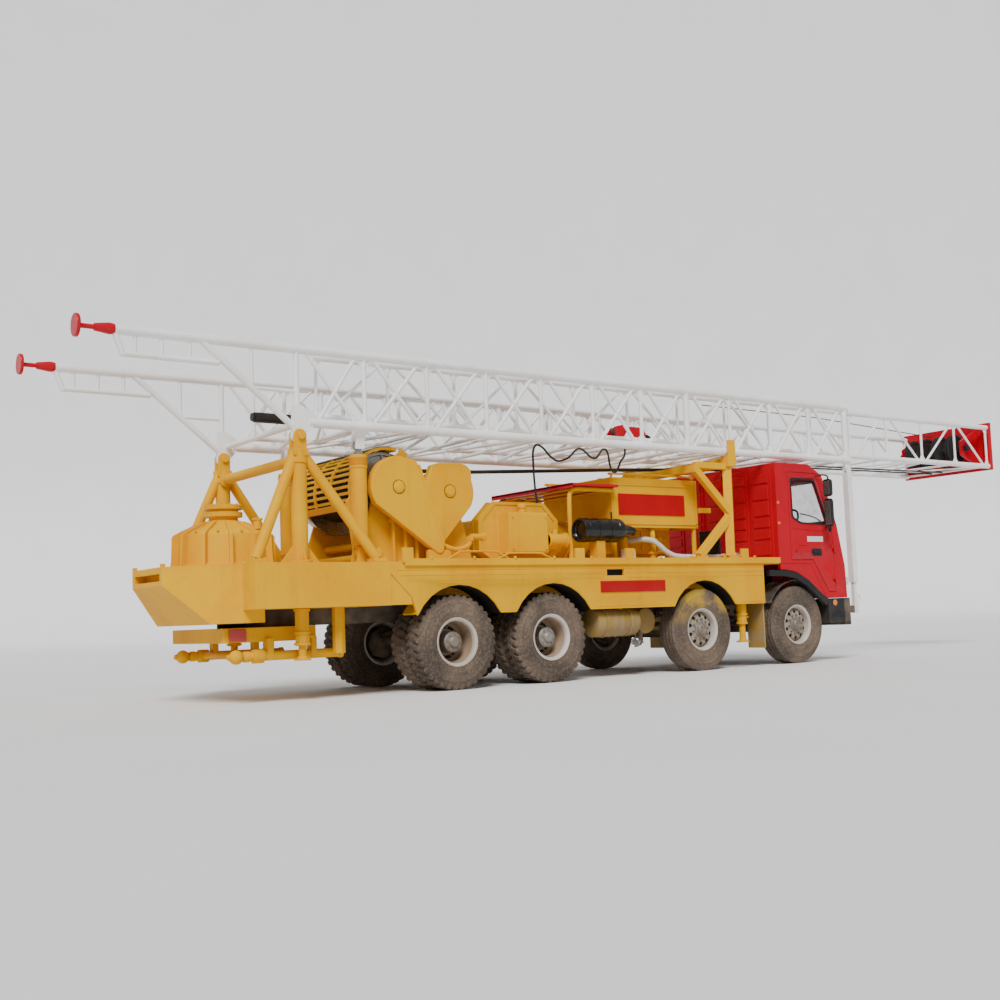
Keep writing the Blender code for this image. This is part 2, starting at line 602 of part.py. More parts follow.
def build_deck_engine():
    """The deck engine with its drive housing, air cleaner and air hose."""
    floor = DECK_TOP + SEAT
    block = Form().box((2.98, 4.22), (-0.33, 0.33), (1.64, 2.16))
    weld = Form().box((3.08, 4.12), (-0.24, 0.24), (floor, 1.66))
    for side in SIDES.values():
        weld.box((3.02, 4.18), (side * 0.06, side * 0.29), (2.15, 2.34))
    weld.rod((2.1603, -0.05, 1.84), (2.34, -0.05, 1.84), 0.09, 8)
    weld.rod((2.32, -0.05, 1.84), (2.82, -0.05, 1.84), 0.24, 12)
    weld.rod((2.80, -0.05, 1.84), (3.00, -0.05, 1.84), 0.13, 8)
    weld.box((2.50, 2.66), (-0.32, 0.22), (floor, 1.70))
    weld.rod((2.04, -1.0, 1.91), (2.74, -1.0, 1.91), 0.155, 12)
    weld.rod((2.73, -1.0, 1.91), (2.92, -1.0, 1.91), 0.09, 8, radius_end=0.065)
    weld.box((2.27, 2.41), (-1.08, -0.92), (floor, 1.80))
    weld.pipe_run([(2.90, -1.0, 1.91), (3.05, -0.88, 1.90), (3.20, -0.30, 1.90)], 0.055)
    weld.pipe_run([(3.42, -0.30, 1.82), (3.52, -0.58, 1.74), (3.66, -0.90, 1.575),
                   (3.95, -0.96, 1.548), (4.45, -0.96, 1.548)], 0.045)
    weld.box((4.20, 4.30), (-0.30, 0.30), (1.62, 2.20))
    piece("deck_engine", "black_paint", block, weld)


def build_hood():
    """The engine hood on its posts and the canopy beside it."""
    x0, x1, half, low, high, sheet = 2.84, 4.44, 0.75, 1.98, 2.66, 0.03
    shell = Form().box((x0, x1), (-half, half), (low, high))
    posts = Form()
    for x in (x0 + 0.05, x1 - 0.05):
        for side in SIDES.values():
            y = side * (half - 0.045)
            posts.rod((x, y, DECK_TOP + SEAT), (x, y, low + 0.05), 0.035, 6)
            posts.box((x - 0.05, x + 0.05), (y - 0.045, y + 0.045), (DECK_TOP + SEAT, DECK_TOP + 0.02))
    cut = Form().box((x0 + sheet, x1 - sheet), (-half + sheet, half - sheet), (low - 1.0, high - sheet))
    cover = place("hood_hollow", shell.mesh("engine_hood", (0, 0, 0)), RIG["parts"], (0, 0, 0))
    cover.name = "engine_hood"
    cover.data.materials.append(finish("yellow_paint"))
    combine(cover, "DIFFERENCE", helper("hood_cut", cut, (0, 0, 0)))
    combine(cover, "UNION", helper("hood_posts", posts, (0, 0, 0)), True)

    roof = Form().box((2.02, x0 - SEAT), (-0.90, 0.90), (2.50, 2.54))
    frame = Form()
    frame.box((2.02, x0 - SEAT), (-0.90, -0.87), (2.46, 2.53)).box((2.02, x0 - SEAT), (0.87, 0.90),
                                                                 (2.46, 2.53))
    for side in SIDES.values():
        frame.rod((2.06, side * 0.78, DECK_TOP + SEAT), (2.06, side * 0.78, 2.52), 0.03, 6)
    piece("engine_canopy", "red_paint", roof, frame)


def build_gantry():
    """The mast rest: two braced legs, a cross beam and the cradles for the lower chords."""
    chord_bottom = PIVOT_Z + LOWER_CHORD_Z - CHORD * math.cos(math.pi / 8)
    beam = Form().box((GANTRY_X - 0.08, GANTRY_X + 0.08), (-1.14, 1.14), (2.84, 2.97))
    weld = Form()
    for side in SIDES.values():
        weld.rod((4.64, side * 1.16, DECK_TOP + 0.025), (GANTRY_X, side * 1.02, 2.88), 0.065, 8)
        weld.rod((4.02, side * 1.16, DECK_TOP + 0.06), (4.70, side * 1.11, 2.10), 0.055, 8)
        weld.rod((4.69, side * 1.11, 2.20), (4.12, side * 1.04, 2.80), 0.045, 6)
        for x in (4.64, 4.02):
            weld.box((x - 0.10, x + 0.10), (side * 1.07, side * 1.239), (DECK_TOP + SEAT, DECK_TOP + 0.06))
        weld.box((GANTRY_X - 0.07, GANTRY_X + 0.07), (side * 0.97, side * 1.11),
                 (2.95, chord_bottom - SEAT))
        weld.box((GANTRY_X - 0.07, GANTRY_X + 0.07), (side * 1.105, side * 1.138), (2.90, 3.22))
    weld.box((4.08, 4.18), (-1.09, 1.09), (2.74, 2.84))
    piece("gantry", "yellow_paint", beam, weld)


def cab_profile(inset):
    """The cab from the side, drawn in by the wall's thickness."""
    rear, front = 5.60 + inset, -inset
    return [(rear, CAB_FLOOR + inset), (rear, 2.93 - inset), (6.34, 2.93 - inset),
            (6.64 + front, 2.77 - inset * 0.4), (6.93 + front, 2.03), (7.07 + front, 1.34),
            (7.08 + front, 0.93 + inset), (6.60 + inset, 0.93 + inset), (6.28 + inset, CAB_FLOOR + inset)]


def door_outline(gap):
    """The door from the side, smaller by the gap."""
    return [(5.86 + gap, 1.50 + gap), (5.86 + gap, 2.80 - gap), (6.49 - gap * 0.5, 2.80 - gap),
            (6.76 - gap, 2.08), (DOOR_HINGE_X - gap, 1.80), (DOOR_HINGE_X - gap, 1.02 + gap),
            (6.66 + gap, 1.02 + gap), (6.34 + gap, 1.50 + gap)]


def window_outline():
    """The side window."""
    return [(5.93, 2.13), (5.93, 2.70), (6.44, 2.70), (6.69, 2.10), (6.66, 2.03), (6.10, 2.05)]


def build_cab():
    """The cab's shell with its doorways and windscreen opening, doors, screen and bumper."""
    shell = Form().plate([cab_profile(0)], -CAB_HALF, CAB_HALF)
    hollow = Form().plate([cab_profile(CAB_WALL)], -CAB_HALF + CAB_WALL, CAB_HALF - CAB_WALL)
    hollow.plate([door_outline(0)], -CAB_HALF - 0.2, -CAB_HALF + 0.2)
    hollow.plate([door_outline(0)], CAB_HALF - 0.2, CAB_HALF + 0.2)
    slope = (6.93 - 6.64) / (2.77 - 2.03)
    lean = math.atan(slope)
    middle = (2.10 + 2.70) / 2
    tall = 0.60 / math.cos(lean)
    seat = (Matrix.Translation((6.905 - (middle - 2.03) * slope, 0, middle))
            @ Matrix.Rotation(-lean, 4, "Y"))
    wide = 2 * (CAB_HALF - 0.13)
    bmesh.ops.create_cube(hollow.bm, size=1, matrix=seat @ Matrix.Diagonal((0.3, wide, tall, 1)))
    cab = place("cab_shell", shell.mesh("cab_shell", (0, 0, 0)), RIG["parts"], (0, 0, 0))
    cab.data.materials.append(finish("red_paint"))
    combine(cab, "DIFFERENCE", helper("cab_hollow", hollow, (0, 0, 0)), True)
    cover = Form()
    cover.box((6.20, 7.06), (-TUNNEL_HALF - 0.04, TUNNEL_HALF + 0.04), (0.94, CAB_FLOOR + 0.02))
    pressed = CAB_HALF - 0.36
    for index in range(5):
        y = pressed * (index / 2 - 1)
        cover.box((5.575, 5.61), (y - 0.09, y + 0.09), (1.56, 2.80))
    for z in (1.42, 1.56, 1.70):
        cover.box((6.96, 7.085), (0.28 - CAB_HALF, CAB_HALF - 0.28), (z, z + 0.05))
    for side in SIDES.values():
        for z in (1.16, 1.62):
            cover.rod((DOOR_HINGE_X, side * DOOR_HINGE_Y, z), (DOOR_HINGE_X, side * DOOR_HINGE_Y, z + 0.05),
                      0.013, 6)
            cover.box((DOOR_HINGE_X, DOOR_HINGE_X + 0.05), (side * (CAB_HALF - 0.01), side * DOOR_HINGE_Y),
                      (z, z + 0.05))
    combine(cab, "UNION", helper("cab_cover", cover, (0, 0, 0)), True)
    tunnel = Form().box((6.0, 7.0), (-TUNNEL_HALF, TUNNEL_HALF), (0.8, 1.40))
    combine(cab, "DIFFERENCE", helper("cab_tunnel", tunnel, (0, 0, 0)))
    feet = Form()
    for side in SIDES.values():
        feet.box((5.66, 5.86), (side * 0.36, side * 0.46), (RAIL_TOP + SEAT, CAB_FLOOR + 0.02))
        feet.box((6.74, 6.90), (side * 0.36, side * 0.46), (RAIL_TOP + SEAT, 1.42))
    combine(cab, "UNION", helper("cab_feet", feet, (0, 0, 0)), True)
    glass = Form()
    size = Matrix.Diagonal((0.008, wide - 2 * SEAT, tall - 2 * SEAT, 1))
    bmesh.ops.create_cube(glass.bm, size=1, matrix=seat @ size)
    piece("windscreen", "window_glass", glass)

    for name, side in SIDES.items():
        outer = side * CAB_HALF
        hinge = (DOOR_HINGE_X, side * DOOR_HINGE_Y, 1.9)
        panel = Form().plate([door_outline(RUN), window_outline()], outer, outer - side * CAB_WALL)
        trim = Form()
        trim.box((5.97, 6.09), (outer - side * 0.01, outer + side * 0.022), (1.60, 1.64))
        trim.rod((6.44, outer - side * 0.02, 2.745), (6.53, outer + side * 0.18, 2.66), 0.014, 6)
        trim.rod((6.72, outer - side * 0.02, 2.00), (6.53, outer + side * 0.18, 1.99), 0.014, 6)
        trim.box((6.50, 6.56), (outer + side * 0.13, outer + side * 0.27), (1.96, 2.70))
        for z in (1.21 + SEAT, 1.67 + SEAT):
            trim.rod((DOOR_HINGE_X, side * DOOR_HINGE_Y, z), (DOOR_HINGE_X, side * DOOR_HINGE_Y, z + 0.05),
                     0.013, 6)
            trim.box((DOOR_HINGE_X - 0.05, DOOR_HINGE_X - 0.002), (side * (CAB_HALF - 0.01), side * DOOR_HINGE_Y),
                     (z, z + 0.05))
        piece("door_" + name, "red_paint", panel, trim, pivot=hinge)

    bar = Form().box((6.98, 7.13), (-CAB_HALF, CAB_HALF), (0.52, 0.925))
    weld = Form()
    for side in SIDES.values():
        weld.box((6.63, 7.00), (side * (CAB_HALF - 0.01), side * (CAB_HALF - 0.06)), (0.60, 0.91))
        weld.box((RAIL_FRONT_X + SEAT, 6.99), (side * 0.35, side * 0.46), (RAIL_BOTTOM, 0.92))
        weld.box((7.10, 7.15), (side * 0.66, side * 0.95), (0.66, 0.86))
    weld.box((7.10, POST_X - 0.05 - SEAT), (-TRUSS_Y - 0.035, 0.035 - TRUSS_Y), (0.70, 0.80))
    piece("bumper", "black_paint", bar, weld)


def build_cab_interior():
    """Seats, dashboard and steering wheel on the cover over the truck's engine."""
    floor = CAB_FLOOR + CAB_WALL + SEAT
    cover = Form().box((5.78, 6.70), (-0.34, 0.34), (floor, 1.74))
    weld = Form()
    for side in SIDES.values():
        weld.box((5.86, 6.36), (side * 0.32, side * 0.90), (floor, 1.92))
        weld.box((5.76, 5.90), (side * 0.38, side * 0.86), (1.80, 2.46))
        weld.box((5.76, 5.86), (side * 0.50, side * 0.74), (2.44, 2.62))
    weld.box((6.60, 6.84), (0.10 - CAB_HALF, CAB_HALF - 0.10), (1.82, 2.03))
    weld.box((6.56, 6.78), (-0.24, 0.24), (1.70, 1.90))
    weld.rod((6.70, -0.62, 1.98), (6.47, -0.62, 2.13), 0.03, 6)
    centre = Vector((6.47, -0.62, 2.13))
    tilt = Matrix.Rotation(math.radians(-57), 3, "Y")
    weld.ring(centre, tilt, 0.21, 0.018)
    weld.rod(centre + tilt @ Vector((0, -0.205, 0)), centre + tilt @ Vector((0, 0.205, 0)), 0.014, 4)
    piece("cab_interior", "cab_trim", cover, weld)


def build_tanks():
    """The fuel drum and the silencer, both carried by the right rail."""
    rail = RAIL_INNER + RAIL_WIDTH + SEAT
    drum = Form().rod((2.16, -1.0, 0.71), (2.88, -1.0, 0.71), 0.185, 12)
    weld = Form()
    for x in (2.30, 2.70):
        weld.rod((x, -1.0, 0.71), (x + 0.04, -1.0, 0.71), 0.197, 12)
        weld.box((x, x + 0.04), (-1.0, -rail), (0.84, 0.92))
    piece("fuel_tank", "yellow_paint", drum, weld)

    can = Form().rod((3.18, -0.95, 0.71), (3.18, -0.56, 0.71), 0.17, 12)
    weld = Form().box((3.14, 3.22), (-0.70, -rail), (0.83, 0.91))
    weld.pipe_run([(3.10, -0.85, 0.60), (3.02, -0.98, 0.47), (2.86, -1.10, 0.44)], 0.05, 6)
    weld.rod((2.90, -1.085, 0.446), (2.82, -1.115, 0.432), 0.062, 10)
    piece("silencer", "black_paint", can, weld)


def build_front_axles():
    """The two steered beams with their springs, hung from the rails."""
    first = Form()
    weld = Form()
    for number, x in enumerate((FRONT_1_X, FRONT_2_X)):
        target = first if number == 0 else weld
        target.box((x - 0.045, x + 0.045), (-0.60, 0.60), (0.46, 0.56))
        for side in SIDES.values():
            weld.rod((x, side * 0.56, 0.51), (x, side * KINGPIN_Y, 0.56), 0.045, 6)
            weld.rod((x, side * KINGPIN_Y, 0.50), (x, side * KINGPIN_Y, 0.62), KINGPIN_EYE, 8)
            y0, y1 = side * RAIL_INNER, side * (RAIL_INNER + RAIL_WIDTH)
            weld.box((x - 0.07, x + 0.07), (y0, y1), (0.55, 0.66))
            leaf = [(x - 0.62, 0.74), (x - 0.25, 0.62), (x + 0.25, 0.62), (x + 0.62, 0.74),
                    (x + 0.62, 0.78), (x + 0.25, 0.68), (x - 0.25, 0.68), (x - 0.62, 0.78)]
            weld.plate([leaf], y0, y1)
            for end in (-0.60, 0.60):
                weld.box((x + end - 0.04, x + end + 0.04), (y0, y1), (0.74, RAIL_BOTTOM - SEAT))
    bridge_y = RAIL_INNER + RAIL_WIDTH / 2
    for side in SIDES.values():
        weld.rod((FRONT_2_X + 0.62, side * bridge_y, 0.765), (FRONT_1_X - 0.62, side * bridge_y, 0.765),
                 0.022, 6)
    piece("front_axles", "black_paint", first, weld)


def build_knuckles():
    """Steering knuckles: a yoke round the beam's eye, a spindle and a brake drum."""
    for number, x in ((1, FRONT_1_X), (2, FRONT_2_X)):
        for name, side in SIDES.items():
            z = TYRE_RADIUS
            web = KINGPIN_EYE + RUN
            y = side * KINGPIN_Y
            yoke = Form().box((x - 0.055, x + 0.055), (y + side * web, y + side * (web + 0.045)),
                              (0.44, 0.68))
            weld = Form()
            for low, high in ((0.44, 0.50 - SEAT), (0.62 + SEAT, 0.68)):
                weld.rod((x, y, low), (x, y, high), 0.055, 6)
                weld.box((x - 0.055, x + 0.055), (y, y + side * (web + 0.02)), (low, high))
            drum_in = y + side * (web + 0.035)
            weld.rod((x, drum_in, z), (x, side * 0.985, z), DRUM_RADIUS, 8)
            weld.rod((x, side * 0.97, z), (x, side * (1.0 - SEAT), z), 0.06, 6)
            piece(f"knuckle_{number}_{name}", "black_paint", yoke, weld,
                  pivot=(x, y, z))


def build_bogie():
    """The two driven axles on their inverted springs and centre trunnions."""
    tube = Form().rod((0, -0.86 + SEAT, TYRE_RADIUS), (0, 0.86 - SEAT, TYRE_RADIUS), AXLE_TUBE, 10)
    weld = Form().rod((BOGIE_SPACING, -0.86 + SEAT, TYRE_RADIUS),
                      (BOGIE_SPACING, 0.86 - SEAT, TYRE_RADIUS), AXLE_TUBE, 10)
    centre = BOGIE_SPACING / 2
    for x in (0, BOGIE_SPACING):
        weld.ball((x, 0, TYRE_RADIUS), 0.21, 8, 6)
        for side in SIDES.values():
            weld.rod((x, side * 0.58, TYRE_RADIUS), (x, side * 0.80, TYRE_RADIUS), 0.20, 8)
    weld.rod((0.1, 0, 0.60), (BOGIE_SPACING - 0.1, 0, 0.60), 0.05, 6)
    for side in SIDES.values():
        y0, y1 = side * 0.445, side * 0.52
        leaf = [(-0.12, 0.62), (0.35, 0.70), (centre, 0.72), (BOGIE_SPACING - 0.35, 0.70),
                (BOGIE_SPACING + 0.12, 0.62), (BOGIE_SPACING + 0.12, 0.67), (BOGIE_SPACING - 0.30, 0.79),
                (centre, 0.84), (0.30, 0.79), (-0.12, 0.67)]
        weld.plate([leaf], y0, y1)
        weld.box((centre - 0.09, centre + 0.09), (side * 0.37, side * 0.50), (0.50, 0.74))
        weld.box((centre - 0.09, centre + 0.09), (side * 0.37, side * 0.43), (0.70, RAIL_BOTTOM - SEAT))
    weld.rod((centre, -0.46, 0.56), (centre, 0.46, 0.56), 0.05, 8)
    piece("rear_bogie", "black_paint", tube, weld)


def tyre_profile(dual):
    """A tyre, or a pair with the spacer band between, as (radius, distance outward)."""
    face, width, radius = TYRE_FACE, TYRE_WIDTH, TYRE_RADIUS

    def section(outer):
        inner = outer - width
        return [(BEAD_RADIUS, outer - 0.035), (0.31, outer - 0.008), (0.43, outer), (0.525, outer - 0.015),
                (radius, outer - 0.06), (radius, inner + 0.06), (0.525, inner + 0.015)]
    first = section(face)
    last = face - width
    if not dual:
        return first + [(0.43, last), (0.31, last + 0.008), (BEAD_RADIUS, last + 0.035)]
    second = section(face - DUAL_PITCH)
    last -= DUAL_PITCH
    return (first + [(0.36, face - width), (0.36, face - DUAL_PITCH)] + second[3:]
            + [(0.36, last), (BEAD_RADIUS, last + 0.035)])


def rear_rim_profile():
    """Two barrels, their disc and the long hub, as one turned solid."""
    bore = RIM_BORE
    outer = TYRE_FACE - 0.004
    inner = TYRE_FACE - DUAL_PITCH - TYRE_WIDTH + 0.004
    return [(0, 1.13), (HUB_RADIUS - 0.02, 1.13), (HUB_RADIUS, 1.09), (HUB_RADIUS, 0.90), (0.24, 0.885),
            (0.243, outer - 0.015), (LIP_RADIUS, outer), (bore, outer - 0.028), (bore, inner + 0.028),
            (LIP_RADIUS, inner), (0.243, inner + 0.015), (0.24, 0.86), (0, 0.86)]


def front_rim_profile():
    """One barrel with a domed disc and the hub cap."""
    bore = RIM_BORE
    outer = TYRE_FACE - 0.004
    inner = TYRE_FACE - TYRE_WIDTH + 0.004
    return [(0, 1.18), (0.07, 1.175), (0.09, 1.105), (0.16, 1.105), (0.235, 1.03),
            (0.243, outer - 0.015), (LIP_RADIUS, outer), (bore, outer - 0.028), (bore, inner + 0.028),
            (LIP_RADIUS, inner), (0.243, inner + 0.015), (0.235, 1.00), (0.15, 1.06), (0.10, 1.0), (0, 1.0)]


def build_wheels():
    """Eight wheels: steered singles in front and driven pairs behind."""
    axles = (("1", FRONT_1_X, False), ("2", FRONT_2_X, False), ("3", BOGIE_SPACING, True), ("4", 0.0, True))
    for label, x, dual in axles:
        for name, side in SIDES.items():
            centre = (x, 0, TYRE_RADIUS)
            rim = rear_rim_profile() if dual else front_rim_profile()
            turned(f"tyre_{label}_{name}", "tyre_rubber", tyre_profile(dual), centre, side,
                   WHEEL_SEGMENTS)
            turned(f"rim_{label}_{name}", "wheel_steel", rim, centre, side, RIM_SEGMENTS)


def build_mast_lower():
    """The outer mast: two braced sides, an open top, a laced bottom and two landing legs."""
    x0, z0 = PIVOT_X, PIVOT_Z
    low, top = z0 + LOWER_CHORD_Z, z0 + UPPER_CHORD_Z
    end = x0 + MAST_LENGTH
    panel = (MAST_LENGTH - 0.07) / PANELS
    chords = Form()
    weld = Form()
    square = math.pi / 4
    eighth = math.pi / 8
    for side in SIDES.values():
        y = side * TRUSS_Y
        chords.rod((x0 - LEG_LENGTH, y, top), (end, y, top), CHORD, 8, turn=eighth)
        weld.rod((x0 + 0.13, y, low), (end, y, low), CHORD, 8, turn=eighth)
        weld.rod((x0, y, z0 + 0.02), (x0, y, top), BRACE + 0.006, 4, turn=square)
        for index in range(PANELS):
            a, b = x0 + index * panel, x0 + (index + 1) * panel
            foot = a + (0.24 if index == 0 else SPREAD)
            weld.rod((foot, y, low), (b - SPREAD, y, top), BRACE, 4, turn=square)
            weld.rod((a + SPREAD, y, top), (b - SPREAD, y, low), BRACE - 0.003, 4, turn=square)
            thick = 0.016 if index in (6, PANELS - 1) else 0
            weld.rod((b, y, low), (b, y, top), BRACE + thick, 4, turn=square)
        lug = arc((x0, z0), 0.072, 160, 350, 5) + [(x0 + 0.20, low - 0.03), (x0 + 0.30, low + 0.02),
                                                   (x0 + 0.05, z0 + 0.34), (x0 - 0.05, z0 + 0.34)]
        weld.plate([lug], y - LUG / 2, y + LUG / 2)
        weld.rod((x0 - 2.02, y, top), (x0 - 1.92, y, z0 + 0.72), 0.036, 4, turn=square)
        weld.rod((x0 - 1.94, y, z0 + 0.735), (x0 - 0.90, y, z0 + 0.735), 0.032, 6)
        weld.rod((x0 - 1.12, y, top), (x0 - 0.02, y, z0 + 0.08), 0.040, 6)
        for x in (-1.80, -1.52, -1.22):
            weld.rod((x0 + x, y, z0 + 0.735), (x0 + x, y, top), 0.026, 4, turn=square)
        weld.rod((x0 - 0.53, y, z0 + 0.48), (x0 - 0.53, y, top), BRACE, 4, turn=square)
        weld.rod((x0 - 0.53, y, z0 + 0.50), (x0, y, z0 + 0.50), BRACE - 0.004, 4, turn=square)
        tip = x0 - LEG_LENGTH
        weld.rod((tip + LAP, y, top), (tip - 0.17, y, top), 0.062, 6, radius_end=0.04)
        weld.rod((tip - 0.16, y, top), (tip - 0.33, y, top), 0.026, 6)
        weld.rod((tip - 0.32, y, top), (tip - 0.36, y, top), PAD_RADIUS, 12)
        eye = [(RAM_X - 0.06, RAM_EYE_Z - 0.05), (RAM_X + 0.05, RAM_EYE_Z - 0.05),
               (x0 + panel + 0.04, low), (x0 + panel - 0.08, low + 0.02)]
        for step in (-1, 1):
            inner = side * RAM_Y + step * (LUG / 2 + RUN)
            weld.plate([eye], inner, inner + step * 0.02)
        weld.box((x0 + panel - 0.03, x0 + panel + 0.03), (side * (INNER_Y - 0.05), side * (INNER_Y + 0.02)),
                 (low, z0 + INNER_LOW_Z - INNER_FLAT - SEAT))
        weld.box((end - 0.10, end - 0.04), (side * (INNER_Y - 0.05), side * (INNER_Y + 0.02)),
                 (low, z0 + INNER_LOW_Z - INNER_FLAT - SEAT))
    for index in range(PANELS + 1):
        x = x0 + index * panel + (0.06 if index == 0 else 0)
        size = 0.045 if index == 0 else BRACE
        weld.rod((x, -TRUSS_Y, low), (x, TRUSS_Y, low), size, 4, turn=square)
        if index < PANELS:
            lean = 1 if index % 2 else -1
            weld.rod((x + SPREAD, lean * TRUSS_Y, low),
                     (x0 + (index + 1) * panel - SPREAD, -lean * TRUSS_Y, low), 0.026, 4, turn=square)
    weld.plate([[(POST_X - 0.07, low), (POST_X + 0.07, low), (POST_X + 0.04, z0 - 0.01),
                 (POST_X - 0.04, z0 - 0.01)]], -TRUSS_Y - 0.015, -TRUSS_Y + 0.015)
    weld.box((x0 + 0.0, x0 + 0.09), (-0.035, 0.035), (low - 0.02, z0 + BARREL_Z - BARREL - SEAT))
    cut = Form()
    cut.rod((x0, -1.3, z0), (x0, 1.3, z0), bearing(PIN, 8), 8)
    piece("mast_lower", "white_paint", chords, weld, cut, pivot=(x0, 0, z0))


def build_mast_upper():
    """The inner mast, its extension rod and the crown."""
    x0, z0 = PIVOT_X, PIVOT_Z
    low, top = z0 + INNER_LOW_Z, z0 + INNER_TOP_Z
    start, end = x0 + INNER_START, x0 + INNER_START + INNER_LENGTH
    panel = (INNER_LENGTH - 0.08) / INNER_PANELS
    square = math.pi / 4
    eighth = math.pi / 8
    chords = Form()
    weld = Form()
    for side in SIDES.values():
        y = side * INNER_Y
        chords.rod((start, y, low), (end - SEAT, y, low), INNER_CHORD, 8, turn=eighth)
        weld.rod((start, y, top), (end - SEAT, y, top), INNER_CHORD, 8, turn=eighth)
        for index in range(INNER_PANELS + 1):
            a = start + 0.04 + index * panel
            weld.rod((a, y, low), (a, y, top), INNER_BRACE, 4, turn=square)
            if index < INNER_PANELS:
                rises = index % 2 == 0
                weld.rod((a + SPREAD, y, low if rises else top),
                         (a + panel - SPREAD, y, top if rises else low), INNER_BRACE, 4, turn=square)
    for index in range(INNER_PANELS + 1):
        x = start + 0.04 + index * panel
        weld.rod((x, -INNER_Y, low), (x, INNER_Y, low), INNER_BRACE, 4, turn=square)
        if index < INNER_PANELS:
            lean = 1 if index % 2 else -1
            weld.rod((x + SPREAD, lean * INNER_Y, low), (x + panel - SPREAD, -lean * INNER_Y, low),
                     0.020, 4, turn=square)
    eye = start + 0.04 + 8 * panel
    weld.rod((x0 + 0.25, 0, z0 + BARREL_Z), (eye, 0, z0 + BARREL_Z), BARREL - 0.026, 8)
    weld.box((eye - 0.03, eye + 0.03), (-0.05, 0.05), (low - 0.02, z0 + BARREL_Z + 0.05))
    piece("mast_upper", "white_paint", chords, weld, pivot=(start, 0, z0))

    barrel = Form().rod((x0 - 0.04, 0, z0 + BARREL_Z), (x0 + BARREL_LENGTH, 0, z0 + BARREL_Z), BARREL, 10)
    collar = Form().rod((x0 - 0.07, 0, z0 + BARREL_Z), (x0 + 0.03, 0, z0 + BARREL_Z), BARREL - 0.012, 10)
    bore = Form().rod((x0 + 0.12, 0, z0 + BARREL_Z), (x0 + BARREL_LENGTH + 0.1, 0, z0 + BARREL_Z),
                      BARREL - 0.019, 10)
    piece("extension_cylinder", "black_paint", barrel, collar, bore)

    plate = Form().box((end, end + CROWN_PLATE - 0.03), (-0.90, 0.90), (z0 + 0.20, z0 + 1.04))
    weld = Form()
    axle_x, axle_z = end - 0.34, z0 + 0.60
    for y in (-0.62, 0.58):
        weld.plate([[(axle_x - 0.12, axle_z - 0.12), (end + 0.01, axle_z - 0.30), (end + 0.01, axle_z + 0.34),
                     (axle_x - 0.12, axle_z + 0.12)]], y, y + 0.04)
    weld.rod((axle_x, -0.70, axle_z), (axle_x, 0.70, axle_z), 0.05, 8)
    for y in (-0.42, -0.14, 0.14, 0.42):
        weld.rod((axle_x, y - 0.03, axle_z), (axle_x, y + 0.03, axle_z), 0.27, 12)
    weld.box((end + 0.02, end + CROWN_PLATE), (-0.80, 0.80), (z0 + 0.96, z0 + 1.02))
    piece("crown_block", "red_paint", plate, weld)


def build_rams():
    """Raising cylinders: a barrel on its deck pin and the rod that slides in it."""
    for name, side in SIDES.items():
        y = side * RAM_Y
        base, bore = RAM_BASE_Z, RAM_ROD + SLIP
        barrel = Form().rod((RAM_X, y, base + 0.09), (RAM_X, y, 2.74), RAM_BARREL, 12)
        weld = Form().rod((RAM_X, y - 0.045, base), (RAM_X, y + 0.045, base), 0.058, 10)
        weld.box((RAM_X - 0.045, RAM_X + 0.045), (y - 0.04, y + 0.04), (base, base + 0.10))
        cut = Form().rod((RAM_X, y, base + 0.17), (RAM_X, y, 2.80), bore, 10)
        cut.rod((RAM_X, y - 0.1, base), (RAM_X, y + 0.1, base), bearing(RAM_PIN, 8), 8)
        piece("ram_barrel_" + name, "yellow_paint", barrel, weld, cut, pivot=(RAM_X, y, base))
        rod = Form().rod((RAM_X, y, base + 0.18), (RAM_X, y, RAM_EYE_Z - 0.10), RAM_ROD, 10)
        eye = Form().rod((RAM_X, y - LUG / 2, RAM_EYE_Z), (RAM_X, y + LUG / 2, RAM_EYE_Z), 0.05, 10)
        eye.box((RAM_X - 0.035, RAM_X + 0.035), (y - 0.03, y + 0.03), (RAM_EYE_Z - 0.11, RAM_EYE_Z))
        piece("ram_rod_" + name, "machined_steel", rod, eye, pivot=(RAM_X, y, RAM_EYE_Z))


def build_post():
    """The white post that hangs from the outer mast's end to the bumper's bracket."""
    y, top = -TRUSS_Y, PIVOT_Z + 0.035
    shaft = Form().box((POST_X - 0.05, POST_X + 0.05), (y - 0.05, y + 0.05), (1.16, top - 0.072))
    weld = Form()
    for step in (-1, 1):
        inner = y + step * 0.021
        ear = [(POST_X - 0.045, top - 0.10), (POST_X + 0.045, top - 0.10)]
        ear += arc((POST_X, top), 0.045, 0, 180, 5)
        weld.plate([ear], inner, inner + step * 0.025)
    weld.box((POST_X - 0.03, POST_X + 0.03), (y - 0.03, y + 0.03), (0.80, 1.18))
    weld.box((POST_X - 0.05, POST_X + 0.04), (y - 0.04, y + 0.04), (0.69, 0.82))
    piece("mast_post", "white_paint", shaft, weld, pivot=(POST_X, y, top))


